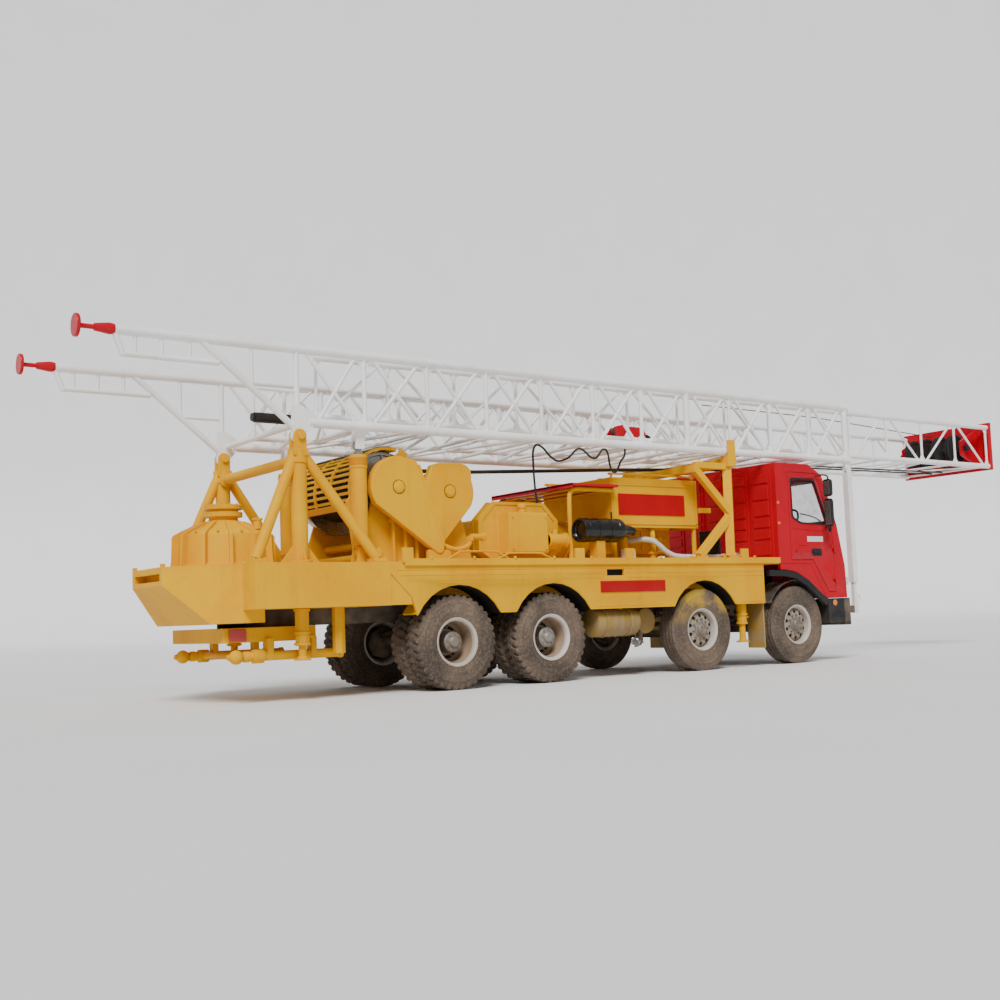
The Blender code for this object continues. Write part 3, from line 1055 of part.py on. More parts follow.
def smooth_route(route, spacing):
    """Points an even distance apart on the smooth curve through a route's own points."""
    knots = [Vector(point) for point in route]
    knots = [2 * knots[0] - knots[1], *knots, 2 * knots[-1] - knots[-2]]
    fine = []
    for p0, p1, p2, p3 in zip(knots, knots[1:], knots[2:], knots[3:]):
        for step in range(16):
            u = step / 16
            fine.append((2 * p1 + (p2 - p0) * u + (2 * p0 - 5 * p1 + 4 * p2 - p3) * u ** 2
                         + (3 * p1 - p0 - 3 * p2 + p3) * u ** 3) / 2)
    fine.append(knots[-2])
    runs = [(b - a).length for a, b in zip(fine, fine[1:])]
    count = round(sum(runs) / spacing)
    points = [fine[0]]
    along = 0.0
    for start, end, run in zip(fine, fine[1:], runs):
        while len(points) < count and along + run >= len(points) * sum(runs) / count:
            points.append(start.lerp(end, (len(points) * sum(runs) / count - along) / run))
        along += run
    return [*points, fine[-1]]


def build_loop_cable():
    """The black cable that hangs in loops under the outer mast, its free end over the gearbox."""
    pivot = Vector((PIVOT_X, 0, PIVOT_Z))
    points = smooth_route([(x, CABLE_Y, z) for x, z in CABLE_ROUTE], 3 * CABLE)
    curve = bpy.data.curves.new("loop_cable", "CURVE")
    curve.dimensions = "3D"
    curve.bevel_depth = CABLE / 2
    curve.bevel_resolution = 2
    curve.use_fill_caps = True
    spline = curve.splines.new("POLY")
    spline.points.add(len(points) - 1)
    for point, spot in zip(spline.points, points):
        point.co = (*(spot - pivot), 1)
    item = place("loop_cable", curve, RIG["parts"], pivot)
    item.data.materials.append(finish("black_paint"))


RIG = {}


def main():
    """Build every sub-part under the empty that centres the rig."""
    clear_scene()
    parts = bpy.data.collections.new("workover_rig")
    cutters = bpy.data.collections.new("cutters")
    bpy.context.scene.collection.children.link(parts)
    bpy.context.scene.collection.children.link(cutters)
    centre = bpy.data.objects.new("rig", None)
    centre.location = (-CENTRE_X, 0, 0)
    parts.objects.link(centre)
    RIG.update({"parts": parts, "cutters": cutters, "empty": centre})
    build_chassis()
    build_platform()
    build_skirts()
    build_jacks()
    build_underframe()
    build_a_frames()
    build_gear_housing()
    build_drawworks()
    build_gearbox()
    build_deck_engine()
    build_hood()
    build_gantry()
    build_cab()
    build_cab_interior()
    build_tanks()
    build_front_axles()
    build_knuckles()
    build_bogie()
    build_wheels()
    build_mast_lower()
    build_mast_upper()
    build_rams()
    build_post()
    build_loop_cable()


main()
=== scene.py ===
"""The looks of a truck-mounted workover rig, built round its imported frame.

Lengths are metres. Places are written in the truck's own frame, measured forward from its
rearmost axle, and CENTRE_X takes them to the frame's origin.
"""

import json
import logging
import math
from dataclasses import dataclass
from enum import Enum
from typing import Callable, Iterable, Optional, Sequence

import bmesh
import bpy
import numpy as np
from mathutils import Matrix, Vector

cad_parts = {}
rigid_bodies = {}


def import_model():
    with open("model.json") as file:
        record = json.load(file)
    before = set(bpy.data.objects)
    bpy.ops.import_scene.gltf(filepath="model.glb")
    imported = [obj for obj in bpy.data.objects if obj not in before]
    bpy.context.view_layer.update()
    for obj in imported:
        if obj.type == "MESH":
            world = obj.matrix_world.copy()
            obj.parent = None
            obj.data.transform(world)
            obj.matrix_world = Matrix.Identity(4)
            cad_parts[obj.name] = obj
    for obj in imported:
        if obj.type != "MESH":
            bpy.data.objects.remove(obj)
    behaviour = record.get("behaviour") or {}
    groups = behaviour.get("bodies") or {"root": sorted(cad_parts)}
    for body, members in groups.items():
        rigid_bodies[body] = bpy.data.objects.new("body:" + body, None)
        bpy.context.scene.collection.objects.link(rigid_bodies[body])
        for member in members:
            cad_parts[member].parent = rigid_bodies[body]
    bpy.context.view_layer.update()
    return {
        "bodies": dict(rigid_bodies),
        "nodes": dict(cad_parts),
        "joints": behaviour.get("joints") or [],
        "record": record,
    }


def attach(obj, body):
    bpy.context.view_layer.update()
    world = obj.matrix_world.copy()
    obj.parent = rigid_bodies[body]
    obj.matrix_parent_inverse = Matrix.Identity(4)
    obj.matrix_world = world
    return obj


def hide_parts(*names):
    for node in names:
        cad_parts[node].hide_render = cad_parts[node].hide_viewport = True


LOG = logging.getLogger("rig")

# The truck's middle, the deck's top, the frame rails' outer faces and the raising cylinders' places
CENTRE_X = 3.675
DECK = 1.5003
FRAME_SIDE = 0.4403
CYLINDER_X, CYLINDER_Y = -1.13, 0.93

# The radius of a closed pole, and how near points are merged in made and in dressed pieces
POLE = 0.0002
MERGE = 0.00002
NODE_MERGE = 0.00005

Point = tuple[float, float, float]
Colour = tuple[float, float, float]
Mesh = tuple[np.ndarray, list]
Radius = Callable[[np.ndarray, np.ndarray], np.ndarray]


class Side(Enum):
    """The machine's two sides, with the sign of Y on each."""

    RIGHT = -1
    LEFT = 1

    @property
    def word(self) -> str:
        """The side's name in the frame's node names."""
        return self.name.lower()


class Tread(Enum):
    """The two tread patterns: cross lugs on the driven wheels and ribs on the steered ones."""

    LUG = "lug"
    RIB = "rib"


# Shader maths


class Value:
    """A socket that carries numbers, with Python's arithmetic."""

    def __init__(self, web: "Web", socket: bpy.types.NodeSocket) -> None:
        """Keep the socket and the web it belongs to."""
        self.web = web
        self.socket = socket

    def maths(self, operation: str, *terms: object) -> "Value":
        """Add one Math node.

        Args:
            operation: the node's operation.
            terms: its inputs, numbers or values.

        Returns:
            The node's result.
        """
        return self.web.value("ShaderNodeMath", {"operation": operation}, dict(enumerate(terms)))

    def __add__(self, other: object) -> "Value":
        """Sum."""
        return self.maths("ADD", self, other)

    def __mul__(self, other: object) -> "Value":
        """Product."""
        return self.maths("MULTIPLY", self, other)

    def __sub__(self, other: object) -> "Value":
        """Difference."""
        return self.maths("SUBTRACT", self, other)

    def __rsub__(self, other: object) -> "Value":
        """Reflected difference."""
        return self.maths("SUBTRACT", other, self)

    __radd__ = __add__
    __rmul__ = __mul__

    def step(self, low: float, high: float) -> "Value":
        """A smooth step from 0 at low to 1 at high."""
        return self.web.value("ShaderNodeMapRange", {"interpolation_type": "SMOOTHSTEP"},
                              {0: self, 1: low, 2: high, 3: 0.0, 4: 1.0})


class Web:
    """One material's nodes."""

    def __init__(self, name: str) -> None:
        """Make a material of that name with its Principled shader."""
        self.material = bpy.data.materials.new(name)
        self.material.use_nodes = True
        self.nodes = self.material.node_tree.nodes
        self.links = self.material.node_tree.links
        self.shader = self.nodes["Principled BSDF"]

    def node(self, kind: str, settings: dict, sockets: dict) -> bpy.types.Node:
        """Add any node.

        Args:
            kind: the node's type.
            settings: its properties, set first.
            sockets: its inputs by name or number: values, sockets or numbers.

        Returns:
            The new node.
        """
        made = self.nodes.new(kind)
        for name, setting in settings.items():
            setattr(made, name, setting)
        for name, given in sockets.items():
            self.feed(made.inputs[name], given)
        return made

    def feed(self, entry: bpy.types.NodeSocket, given: object) -> None:
        """Link or set one input."""
        if isinstance(given, Value):
            self.links.new(given.socket, entry)
        elif isinstance(given, bpy.types.NodeSocket):
            self.links.new(given, entry)
        elif isinstance(given, tuple) and entry.type == "RGBA":
            entry.default_value = (*given, 1.0)
        else:
            entry.default_value = given

    def value(self, kind: str, settings: dict, sockets: dict, output: int = 0) -> Value:
        """Add a node and return one of its outputs as a value."""
        return Value(self, self.node(kind, settings, sockets).outputs[output])

    def place(self) -> bpy.types.NodeSocket:
        """The piece's own place, in metres."""
        return self.node("ShaderNodeTexCoord", {}, {}).outputs["Object"]

    def noise(self, scale: float, detail: float = 3.0, stretch: Point = (1, 1, 1)) -> Value:
        """Cloudy noise.

        Args:
            scale: waves in a metre.
            detail: octaves.
            stretch: the scale's share along each axis.

        Returns:
            Values round 0.5.
        """
        spot = self.node("ShaderNodeMapping", {}, {"Vector": self.place(), "Scale": stretch}).outputs[0]
        return self.value("ShaderNodeTexNoise", {}, {"Vector": spot, "Scale": scale, "Detail": detail})

    def height(self) -> Value:
        """The height above the ground."""
        return self.value("ShaderNodeSeparateXYZ", {}, {0: self.place()}, 2)

    def mix(self, share: object, first: object, second: object) -> bpy.types.NodeSocket:
        """Blend two colours by a share."""
        return self.node("ShaderNodeMix", {"data_type": "RGBA"},
                         {0: share, 6: first, 7: second}).outputs[2]

    def bump(self, depth: Value, strength: float, distance: float) -> None:
        """Raise the surface by the depth."""
        bump = self.node("ShaderNodeBump", {}, {"Strength": strength, "Distance": distance,
                                                "Height": depth})
        self.links.new(bump.outputs[0], self.shader.inputs["Normal"])


# Finishes


@dataclass(frozen=True)
class Finish:
    """Weathered paint, plastic or metal: patches, streaks, dust that thins upwards, and chips."""

    name: str
    slot: str
    colour: Colour
    faded: Colour
    dust: Colour = (0.30, 0.23, 0.15)
    dust_top: float = 1.4
    dust_share: float = 0.5
    roughness: float = 0.4
    metallic: float = 0.0
    coat: float = 0.0
    shine: float = 0.25
    chip: Colour = (0.10, 0.06, 0.04)
    chip_level: float = 0.74
    grain: float = 90.0
    grain_depth: float = 0.0006
    streaks: float = 0.35
    patch_scale: float = 1.3
    mottle_scale: float = 11.0
    run_scale: float = 9.0
    run_stretch: Point = (1, 1, 0.12)
    dust_scale: float = 4.0
    flake_scale: float = 42.0
    flake_patch_scale: float = 2.4
    swell_scale: float = 3.2
    coat_roughness: float = 0.12
    bump_strength: float = 0.35

    def make(self) -> bpy.types.Material:
        """Build the material.

        Returns:
            The material, with patches from coarse noise, streaks from noise drawn out along Z, dust as
            height's falling step times noise, and chips where fine noise passes a level.
        """
        web = Web(self.name)
        patches = web.noise(self.patch_scale, 4.0).step(0.40, 0.66)
        mottle = web.noise(self.mottle_scale, 5.0)
        runs = web.noise(self.run_scale, 3.0, self.run_stretch).step(0.52, 0.80)
        colour = web.mix(patches * 0.7 + mottle.step(0.45, 0.75) * 0.25, self.colour, self.faded)
        colour = web.mix(runs * self.streaks, colour, tuple(c * 0.55 for c in self.colour))
        low = 1 - web.height().step(0.15, self.dust_top)
        dust = (low * web.noise(self.dust_scale, 6.0).step(0.30, 0.68)) * self.dust_share
        colour = web.mix(dust, colour, self.dust)
        flakes = web.noise(self.flake_scale, 6.0).step(self.chip_level, self.chip_level + 0.03)
        flakes = flakes * web.noise(self.flake_patch_scale, 2.0).step(0.45, 0.6)
        colour = web.mix(flakes, colour, self.chip)
        web.feed(web.shader.inputs["Base Color"], colour)
        rough = dust * 0.45 + mottle * 0.16 + (self.roughness - 0.08) + flakes * 0.3
        web.feed(web.shader.inputs["Roughness"], rough)
        web.shader.inputs["Metallic"].default_value = self.metallic
        web.shader.inputs["Coat Weight"].default_value = self.coat
        web.shader.inputs["Coat Roughness"].default_value = self.coat_roughness
        web.shader.inputs["Specular IOR Level"].default_value = self.shine
        relief = web.noise(self.grain, 2.0) + web.noise(self.swell_scale, 2.0) * 6.0 - flakes * 1.5
        web.bump(relief, self.bump_strength, self.grain_depth)
        return web.material


@dataclass(frozen=True)
class Rubber:
    """Tyre rubber: dark, with clouds of dry mud and, on some tyres, yellow overspray near the top."""

    name: str = "tyre_rubber"
    slot: str = "tyre_rubber"
    bare: Colour = (0.036, 0.031, 0.027)
    over: Colour = (0.26, 0.185, 0.13)
    spray: Colour = (0.55, 0.33, 0.02)
    overspray: float = 0.0

    def make(self) -> bpy.types.Material:
        """Build the material: mud by a coarse and a fine noise, overspray by the height times noise."""
        web = Web(self.name)
        cloud = web.noise(2.2, 5.0)
        fine = web.noise(38.0, 6.0)
        dust = cloud.step(0.30, 0.72) * 0.40 + fine.step(0.42, 0.70) * 0.30 + 0.12
        colour = web.mix(dust, self.bare, self.over)
        if self.overspray > 0:
            high = web.height().step(0.55, 1.0) * web.noise(2.6, 3.0).step(0.42, 0.60) * self.overspray
            colour = web.mix(high, colour, self.spray)
        web.feed(web.shader.inputs["Base Color"], colour)
        web.feed(web.shader.inputs["Roughness"], dust * 0.2 + 0.68)
        web.shader.inputs["Specular IOR Level"].default_value = 0.25
        web.bump(fine + cloud * 2.0, 0.4, 0.001)
        return web.material


@dataclass(frozen=True)
class Glass:
    """Thin tinted glass."""

    name: str = "window_glass"
    slot: str = "window_glass"
    alpha: float = 0.12
    tint: Colour = (0.05, 0.07, 0.07)
    film: Colour = (0.35, 0.34, 0.31)

    def make(self) -> bpy.types.Material:
        """Build the material: clear, lightly tinted, with a thin film of dust by noise."""
        web = Web(self.name)
        film = web.noise(6.0, 4.0).step(0.45, 0.8)
        web.feed(web.shader.inputs["Base Color"], web.mix(film * 0.3, self.tint, self.film))
        web.feed(web.shader.inputs["Roughness"], film * 0.12 + 0.03)
        web.feed(web.shader.inputs["Alpha"], film * 0.12 + self.alpha)
        return web.material


class Finishes:
    """Every finish on the machine, made once."""

    YELLOW = Finish("yellow_paint", "yellow_paint", (0.80, 0.42, 0.0), (0.74, 0.33, 0.0),
                    dust=(0.36, 0.22, 0.04), dust_share=0.2, roughness=0.5, shine=0.12, streaks=0.2,
                    chip_level=0.79)
    WHITE = Finish("white_paint", "white_paint", (0.96, 0.95, 0.94), (0.86, 0.82, 0.77), dust_share=0.2,
                   roughness=0.42, coat=0.1, chip=(0.20, 0.10, 0.05), chip_level=0.77, streaks=0.16)
    RED = Finish("red_paint", "red_paint", (0.52, 0.0, 0.012), (0.46, 0.0, 0.012),
                 dust=(0.28, 0.08, 0.05), dust_share=0.12, roughness=0.36, shine=0.2, coat=0.15,
                 streaks=0.12, chip_level=0.83)
    BLACK = Finish("black_paint", "black_paint", (0.022, 0.022, 0.024), (0.04, 0.036, 0.032),
                   dust_share=0.75, dust_top=1.7, roughness=0.5, chip=(0.16, 0.12, 0.09))
    DARK = Finish("chassis_paint", "black_paint", (0.030, 0.027, 0.025), (0.055, 0.045, 0.036),
                  dust_share=0.8, dust_top=1.9, roughness=0.62, chip=(0.16, 0.10, 0.06), chip_level=0.70)
    RIM = Finish("wheel_steel", "wheel_steel", (0.42, 0.38, 0.32), (0.34, 0.28, 0.20), dust_share=0.65,
                 dust_top=1.9, roughness=0.55, metallic=0.15, chip=(0.12, 0.08, 0.05), chip_level=0.66)
    STEEL = Finish("machined_steel", "machined_steel", (0.50, 0.49, 0.47), (0.38, 0.35, 0.31),
                   dust_share=0.3, roughness=0.28, metallic=0.9, chip=(0.15, 0.09, 0.05))
    TRIM = Finish("cab_trim", "cab_trim", (0.016, 0.016, 0.018), (0.03, 0.028, 0.026), dust_share=0.15,
                  roughness=0.6, chip_level=0.95)
    HOSE = Finish("hose_skin", "machined_steel", (0.70, 0.69, 0.66), (0.55, 0.53, 0.48), roughness=0.45,
                  chip_level=0.9)
    LENS = Finish("lamp_lens", "red_paint", (0.45, 0.01, 0.01), (0.38, 0.02, 0.02), roughness=0.18,
                  coat=0.9, chip_level=0.97, dust_share=0.15)
    AMBER = Finish("amber_lens", "yellow_paint", (0.80, 0.22, 0.01), (0.72, 0.20, 0.02), roughness=0.18,
                   coat=0.9, chip_level=0.97, dust_share=0.1)
    CLEAR = Finish("clear_lens", "machined_steel", (0.72, 0.74, 0.76), (0.62, 0.64, 0.66), roughness=0.1,
                   coat=1.0, chip_level=0.97, dust_share=0.1)
    ROPE = Finish("wire_rope", "black_paint", (0.030, 0.028, 0.027), (0.07, 0.06, 0.05), roughness=0.5,
                  metallic=0.5, chip_level=0.9, dust_share=0.1)
    PRIMER = Finish("primer_band", "yellow_paint", (0.62, 0.25, 0.0), (0.54, 0.19, 0.0), roughness=0.55,
                    dust_share=0.1, shine=0.12)
    SIGN = Finish("sign_plate", "red_paint", (0.46, 0.0, 0.004), (0.38, 0.004, 0.006), roughness=0.4,
                  shine=0.15, dust_share=0.3, streaks=0.1, chip_level=0.86)
    OLIVE = Finish("drum_paint", "yellow_paint", (0.40, 0.23, 0.01), (0.26, 0.17, 0.04), roughness=0.6,
                   dust_share=0.8, dust_top=1.6)
    LIP = Finish("rim_lip", "wheel_steel", (0.62, 0.58, 0.54), (0.48, 0.40, 0.33), dust_share=0.35,
                 dust_top=1.9, roughness=0.5, chip=(0.14, 0.09, 0.06), chip_level=0.70)
    DISH = Finish("rim_dish", "wheel_steel", (0.42, 0.30, 0.20), (0.30, 0.20, 0.13), dust_share=0.5,
                  dust_top=1.9, roughness=0.7, chip=(0.12, 0.08, 0.05), chip_level=0.66)
    HUB = Finish("hub_steel", "wheel_steel", (0.30, 0.28, 0.26), (0.20, 0.16, 0.13), dust_share=0.4,
                 dust_top=1.9, roughness=0.45, metallic=0.4, chip_level=0.68)
    GLOSS = Finish("gloss_black", "black_paint", (0.006, 0.006, 0.007), (0.012, 0.011, 0.010),
                   dust_share=0.06, roughness=0.25, coat=0.4, chip_level=0.95, streaks=0.1)
    # Plain near-black painted shade, put where holes, gaps, arches and hollows lie in shadow.
    DEEP = Finish("deep_shade", "black_paint", (0.008, 0.007, 0.006), (0.012, 0.010, 0.009),
                  dust_share=0.05, roughness=0.8, chip_level=0.95, streaks=0.1)
    TYRE = Rubber()
    SPRAYED = Rubber("tyre_rubber_sprayed", overspray=0.75)
    GLASS = Glass()

    def __init__(self) -> None:
        """Start with no material made."""
        self.made: dict[str, bpy.types.Material] = {}

    def get(self, finish: object) -> bpy.types.Material:
        """Return a finish's material, made on its first use."""
        if finish.name not in self.made:
            self.made[finish.name] = finish.make()
        return self.made[finish.name]


# Surfaces worked out with numpy


def joined(parts: Iterable[Mesh]) -> Mesh:
    """Put meshes in one, each one's faces counted on from the last."""
    points: list[np.ndarray] = []
    faces: list = []
    total = 0
    for verts, polygons in parts:
        points.append(verts)
        faces += [tuple(int(index) + total for index in polygon) for polygon in polygons]
        total += len(verts)
    return np.concatenate(points), faces


def grid_faces(rows: int, columns: int, wrap: bool, start: int = 0) -> list:
    """Quads over a grid of points counted row by row; wrap joins the last column to the first."""
    last = columns if wrap else columns - 1
    row, column = np.meshgrid(np.arange(rows - 1), np.arange(last), indexing="ij")
    after = (column + 1) % columns
    quads = np.stack([row * columns + column, row * columns + after,
                      (row + 1) * columns + after, (row + 1) * columns + column], -1)
    return (quads.reshape(-1, 4) + start).tolist()


def closing(rows: int, columns: int) -> list:
    """Quads that join the last row of a wrapped grid to its first."""
    column = np.arange(columns)
    after = (column + 1) % columns
    last = (rows - 1) * columns
    return np.stack([last + column, last + after, after, column], -1).tolist()


def capped(rows: int, columns: int) -> list:
    """A wrapped grid's quads and a flat face at each end."""
    last = (rows - 1) * columns
    return grid_faces(rows, columns, True) + [tuple(range(columns))[::-1],
                                              tuple(range(last, last + columns))]


def turned(profile: Sequence[tuple[float, float]], centre: Point, axis: Point,
           segments: int = 48) -> Mesh:
    """Turn a profile about an axis.

    Point (s, t) is the centre plus the axis times the profile's height at s, plus the profile's radius
    at s times the unit circle at angle t. A profile that starts and ends away from the axis is a ring,
    joined end to end; any other is closed by flat ends.

    Args:
        profile: (radius, height) from one end to the other.
        centre: where the height is zero.
        axis: the axis's direction.
        segments: points round the circle.

    Returns:
        The mesh, closed.
    """
    along = np.array(Vector(axis).normalized())
    across = np.array(Vector(axis).orthogonal().normalized())
    third = np.cross(along, across)
    angle = np.linspace(0, 2 * np.pi, segments, endpoint=False)
    circle = np.outer(np.cos(angle), across) + np.outer(np.sin(angle), third)
    line = np.array(profile, float)
    points = (np.array(centre) + line[:, 1, None, None] * along
              + line[:, 0, None, None] * circle[None])
    if min(line[0, 0], line[-1, 0]) > POLE:
        return points.reshape(-1, 3), grid_faces(len(line), segments, True) + closing(len(line), segments)
    return points.reshape(-1, 3), capped(len(line), segments)


def rod(radius: float, start: Point, end: Point, segments: int = 24, edge: float = 0.004) -> Mesh:
    """A round bar with eased ends."""
    a, b = Vector(start), Vector(end)
    length = (b - a).length
    profile = [(POLE, 0), (radius - edge, 0), (radius, edge), (radius, length - edge),
               (radius - edge, length), (POLE, length)]
    return turned(profile, start, tuple(b - a), segments)


def ramp(values: np.ndarray, low: float, span: float) -> np.ndarray:
    """Rise from 0 at low to 1 at low plus span."""
    return np.clip((values - low) / span, 0, 1)


def fall(values: np.ndarray, high: float, span: float) -> np.ndarray:
    """Fall from 1 at high less span to 0 at high."""
    return np.clip((high - values) / span, 0, 1)


def band(centre: Point, axis: Point, radius: float, width: float, thick: float = 0.004,
         segments: int = 40) -> Mesh:
    """A flat strap round a drum."""
    half = width / 2
    return turned([(radius - 0.002, -half), (radius + thick, -half), (radius + thick, half),
                   (radius - 0.002, half)], centre, axis, segments)


def bars(lines: Sequence[tuple[Point, Point, float]], segments: int = 12, square: bool = False) -> Mesh:
    """Straight bars.

    A bar's point (s, t) runs from start to end with s, and round a circle (or a square's corners) with t.

    Args:
        lines: start, end and radius of each bar.
        segments: points round a bar; a square bar has 4.
        square: whether the sides stand level and upright.

    Returns:
        One mesh with every bar, ends closed.
    """
    parts = []
    for start, end, radius in lines:
        a, b = Vector(start), Vector(end)
        level = (b - a).to_track_quat("Z", "Y").to_matrix()
        count = 4 if square else segments
        phase = np.pi / 4 if square else 0
        angle = phase + np.linspace(0, 2 * np.pi, count, endpoint=False)
        ring = np.stack([np.cos(angle) * radius, np.sin(angle) * radius, np.zeros(count)],
                        1) @ np.array(level).T
        points = np.concatenate([ring + np.array(a), ring + np.array(b)])
        parts.append((points, capped(2, count)))
    return joined(parts)


def smooth_path(route: Sequence[Point], count: int) -> np.ndarray:
    """Even points on a smooth curve through a route: cubic pieces with Catmull-Rom slopes."""
    knots = np.array(route, float)
    padded = np.concatenate([2 * knots[:1] - knots[1:2], knots, 2 * knots[-1:] - knots[-2:-1]])
    t = np.linspace(0, len(knots) - 1, count)
    cell = np.minimum(t.astype(int), len(knots) - 2)
    u = (t - cell)[:, None]
    p0, p1, p2, p3 = (padded[cell + shift] for shift in range(4))
    return 0.5 * (2 * p1 + (p2 - p0) * u + (2 * p0 - 5 * p1 + 4 * p2 - p3) * u ** 2
                  + (3 * p1 - p0 - 3 * p2 + p3) * u ** 3)


def swept(path: np.ndarray, radius: Radius, segments: int = 16) -> Mesh:
    """Carry a ring along a path.

    Point (s, t) is the path's point at s plus radius(s, t) times the ring's direction at t, in a frame
    whose sides are square to the path and to the axis that the path follows least.

    Args:
        path: points of the centreline.
        radius: from the distance along the path and the angle round it.
        segments: points round the ring.

    Returns:
        The mesh, ends closed.
    """
    steps = np.gradient(path, axis=0)
    steps /= np.linalg.norm(steps, axis=1, keepdims=True)
    guide = np.eye(3)[np.abs(steps).max(0).argmin()]
    side = np.cross(steps, guide)
    side /= np.linalg.norm(side, axis=1, keepdims=True)
    up = np.cross(side, steps)
    run = np.concatenate([[0], np.cumsum(np.linalg.norm(np.diff(path, axis=0), axis=1))])
    angle = np.linspace(0, 2 * np.pi, segments, endpoint=False)
    size = radius(run[:, None], angle[None])
    ring = np.cos(angle)[None, :, None] * side[:, None] + np.sin(angle)[None, :, None] * up[:, None]
    points = path[:, None] + ring * size[..., None]
    return points.reshape(-1, 3), capped(len(path), segments)


def block(x: Sequence[float], y: Sequence[float], z: Sequence[float]) -> Mesh:
    """A block between three pairs, to be bevelled by its piece."""
    corners = np.array([(a, b, c) for c in z for b in y for a in x], float)
    faces = [(0, 2, 3, 1), (4, 5, 7, 6), (0, 1, 5, 4), (2, 6, 7, 3), (0, 4, 6, 2), (1, 3, 7, 5)]
    return corners, faces


def slab(outline: Sequence[tuple[float, float]], near: float, far: float, plane: str = "XZ") -> Mesh:
    """An outline drawn in a plane and thickened across it from near to far."""
    flat = np.array(outline, float)
    count = len(flat)
    order = {"XZ": (0, 2, 1), "YZ": (1, 2, 0), "XY": (0, 1, 2)}[plane]
    points = np.zeros((2 * count, 3))
    for layer, depth in enumerate((near, far)):
        part = points[layer * count:(layer + 1) * count]
        part[:, order[0]] = flat[:, 0]
        part[:, order[1]] = flat[:, 1]
        part[:, order[2]] = depth
    return points, capped(2, count)


def arc(centre: tuple[float, float], radius: float, start: float, end: float, steps: int) -> list:
    """Points along an arc, angles in degrees."""
    angle = np.radians(np.linspace(start, end, steps + 1))
    return list(zip(centre[0] + radius * np.cos(angle), centre[1] + radius * np.sin(angle)))


def bolts(spots: Sequence[Point], normal: Point, radius: float = 0.014, height: float = 0.012) -> Mesh:
    """Six-sided bolt heads that stand on their washers at each spot."""
    push = Vector(normal).normalized()
    lines = []
    washers = []
    for spot in spots:
        foot = Vector(spot)
        washers.append((tuple(foot - push * 0.004), tuple(foot + push * 0.002), radius * 1.35))
        lines.append((tuple(foot), tuple(foot + push * height), radius))
    return joined([bars(lines, 6), bars(washers, 10)])


def moved(mesh: Mesh, matrix: Matrix) -> Mesh:
    """A mesh moved by a matrix."""
    points, faces = mesh
    turn = np.array(matrix)
    return points @ turn[:3, :3].T + turn[:3, 3], faces


def even(radius: float) -> Radius:
    """A sweep's radius that never changes."""
    return lambda run, angle: radius + 0 * run + 0 * angle


def pipe(route: Sequence[Point], count: int, radius: float, segments: int) -> Mesh:
    """A round pipe of even thickness on a smooth curve through a route, with count rings."""
    return swept(smooth_path(route, count), even(radius), segments)


def corrugated(radius: float, depth: float, pitch: float) -> Radius:
    """A sweep's radius that swells and narrows as a sine of the distance."""
    return lambda run, angle: radius + depth * np.sin(2 * np.pi * run / pitch) + 0 * angle


def rounded(corners: Sequence[tuple[float, float]], radius: float, grow: float, steps: int = 6) -> list:
    """An outline with each corner turned into a curve.

    Each corner is swapped for points on the parabola between a place before it and a place after it, and
    every point is pushed out from the outline's middle by grow.
    """
    points = np.array(corners, float)
    middle = points.mean(0)
    before = np.roll(points, 1, 0)
    after = np.roll(points, -1, 0)
    a = points + (before - points) / np.linalg.norm(before - points, axis=1, keepdims=True) * radius
    b = points + (after - points) / np.linalg.norm(after - points, axis=1, keepdims=True) * radius
    t = np.linspace(0, 1, steps)[None, :, None]
    curve = (1 - t) ** 2 * a[:, None] + 2 * t * (1 - t) * points[:, None] + t ** 2 * b[:, None]
    curve = curve.reshape(-1, 2)
    out = curve - middle
    curve = curve + out / np.linalg.norm(out, axis=1, keepdims=True) * grow
    return [tuple(point) for point in curve]


def loop(outer: np.ndarray, inner: np.ndarray, near: float, far: float) -> Mesh:
    """A flat ring between two outlines of as many points, thickened along Y."""
    count = len(outer)
    rows = [(outer, near), (outer, far), (inner, far), (inner, near)]
    points = np.concatenate([np.stack([line[:, 0], np.full(count, y), line[:, 1]], 1)
                             for line, y in rows])
    return points, grid_faces(len(rows), count, True) + closing(len(rows), count)


def mirror_head(y: float, low: float, high: float) -> Mesh:
    """A mirror's rounded shell: an outline swollen forward."""
    corners = [(y - 0.065, low), (y + 0.065, low), (y + 0.065, high), (y - 0.065, high)]
    flat = np.array(rounded(corners, 0.035, 0))
    middle = flat.mean(0)
    rows = [(6.50, 0.94), (6.495, 1.0), (6.53, 1.0), (6.555, 0.90), (6.565, 0.62)]
    points = np.concatenate([np.stack([np.full(len(flat), x), *(middle + (flat - middle) * k).T], 1)
                             for x, k in rows])
    return points, capped(len(rows), len(flat))


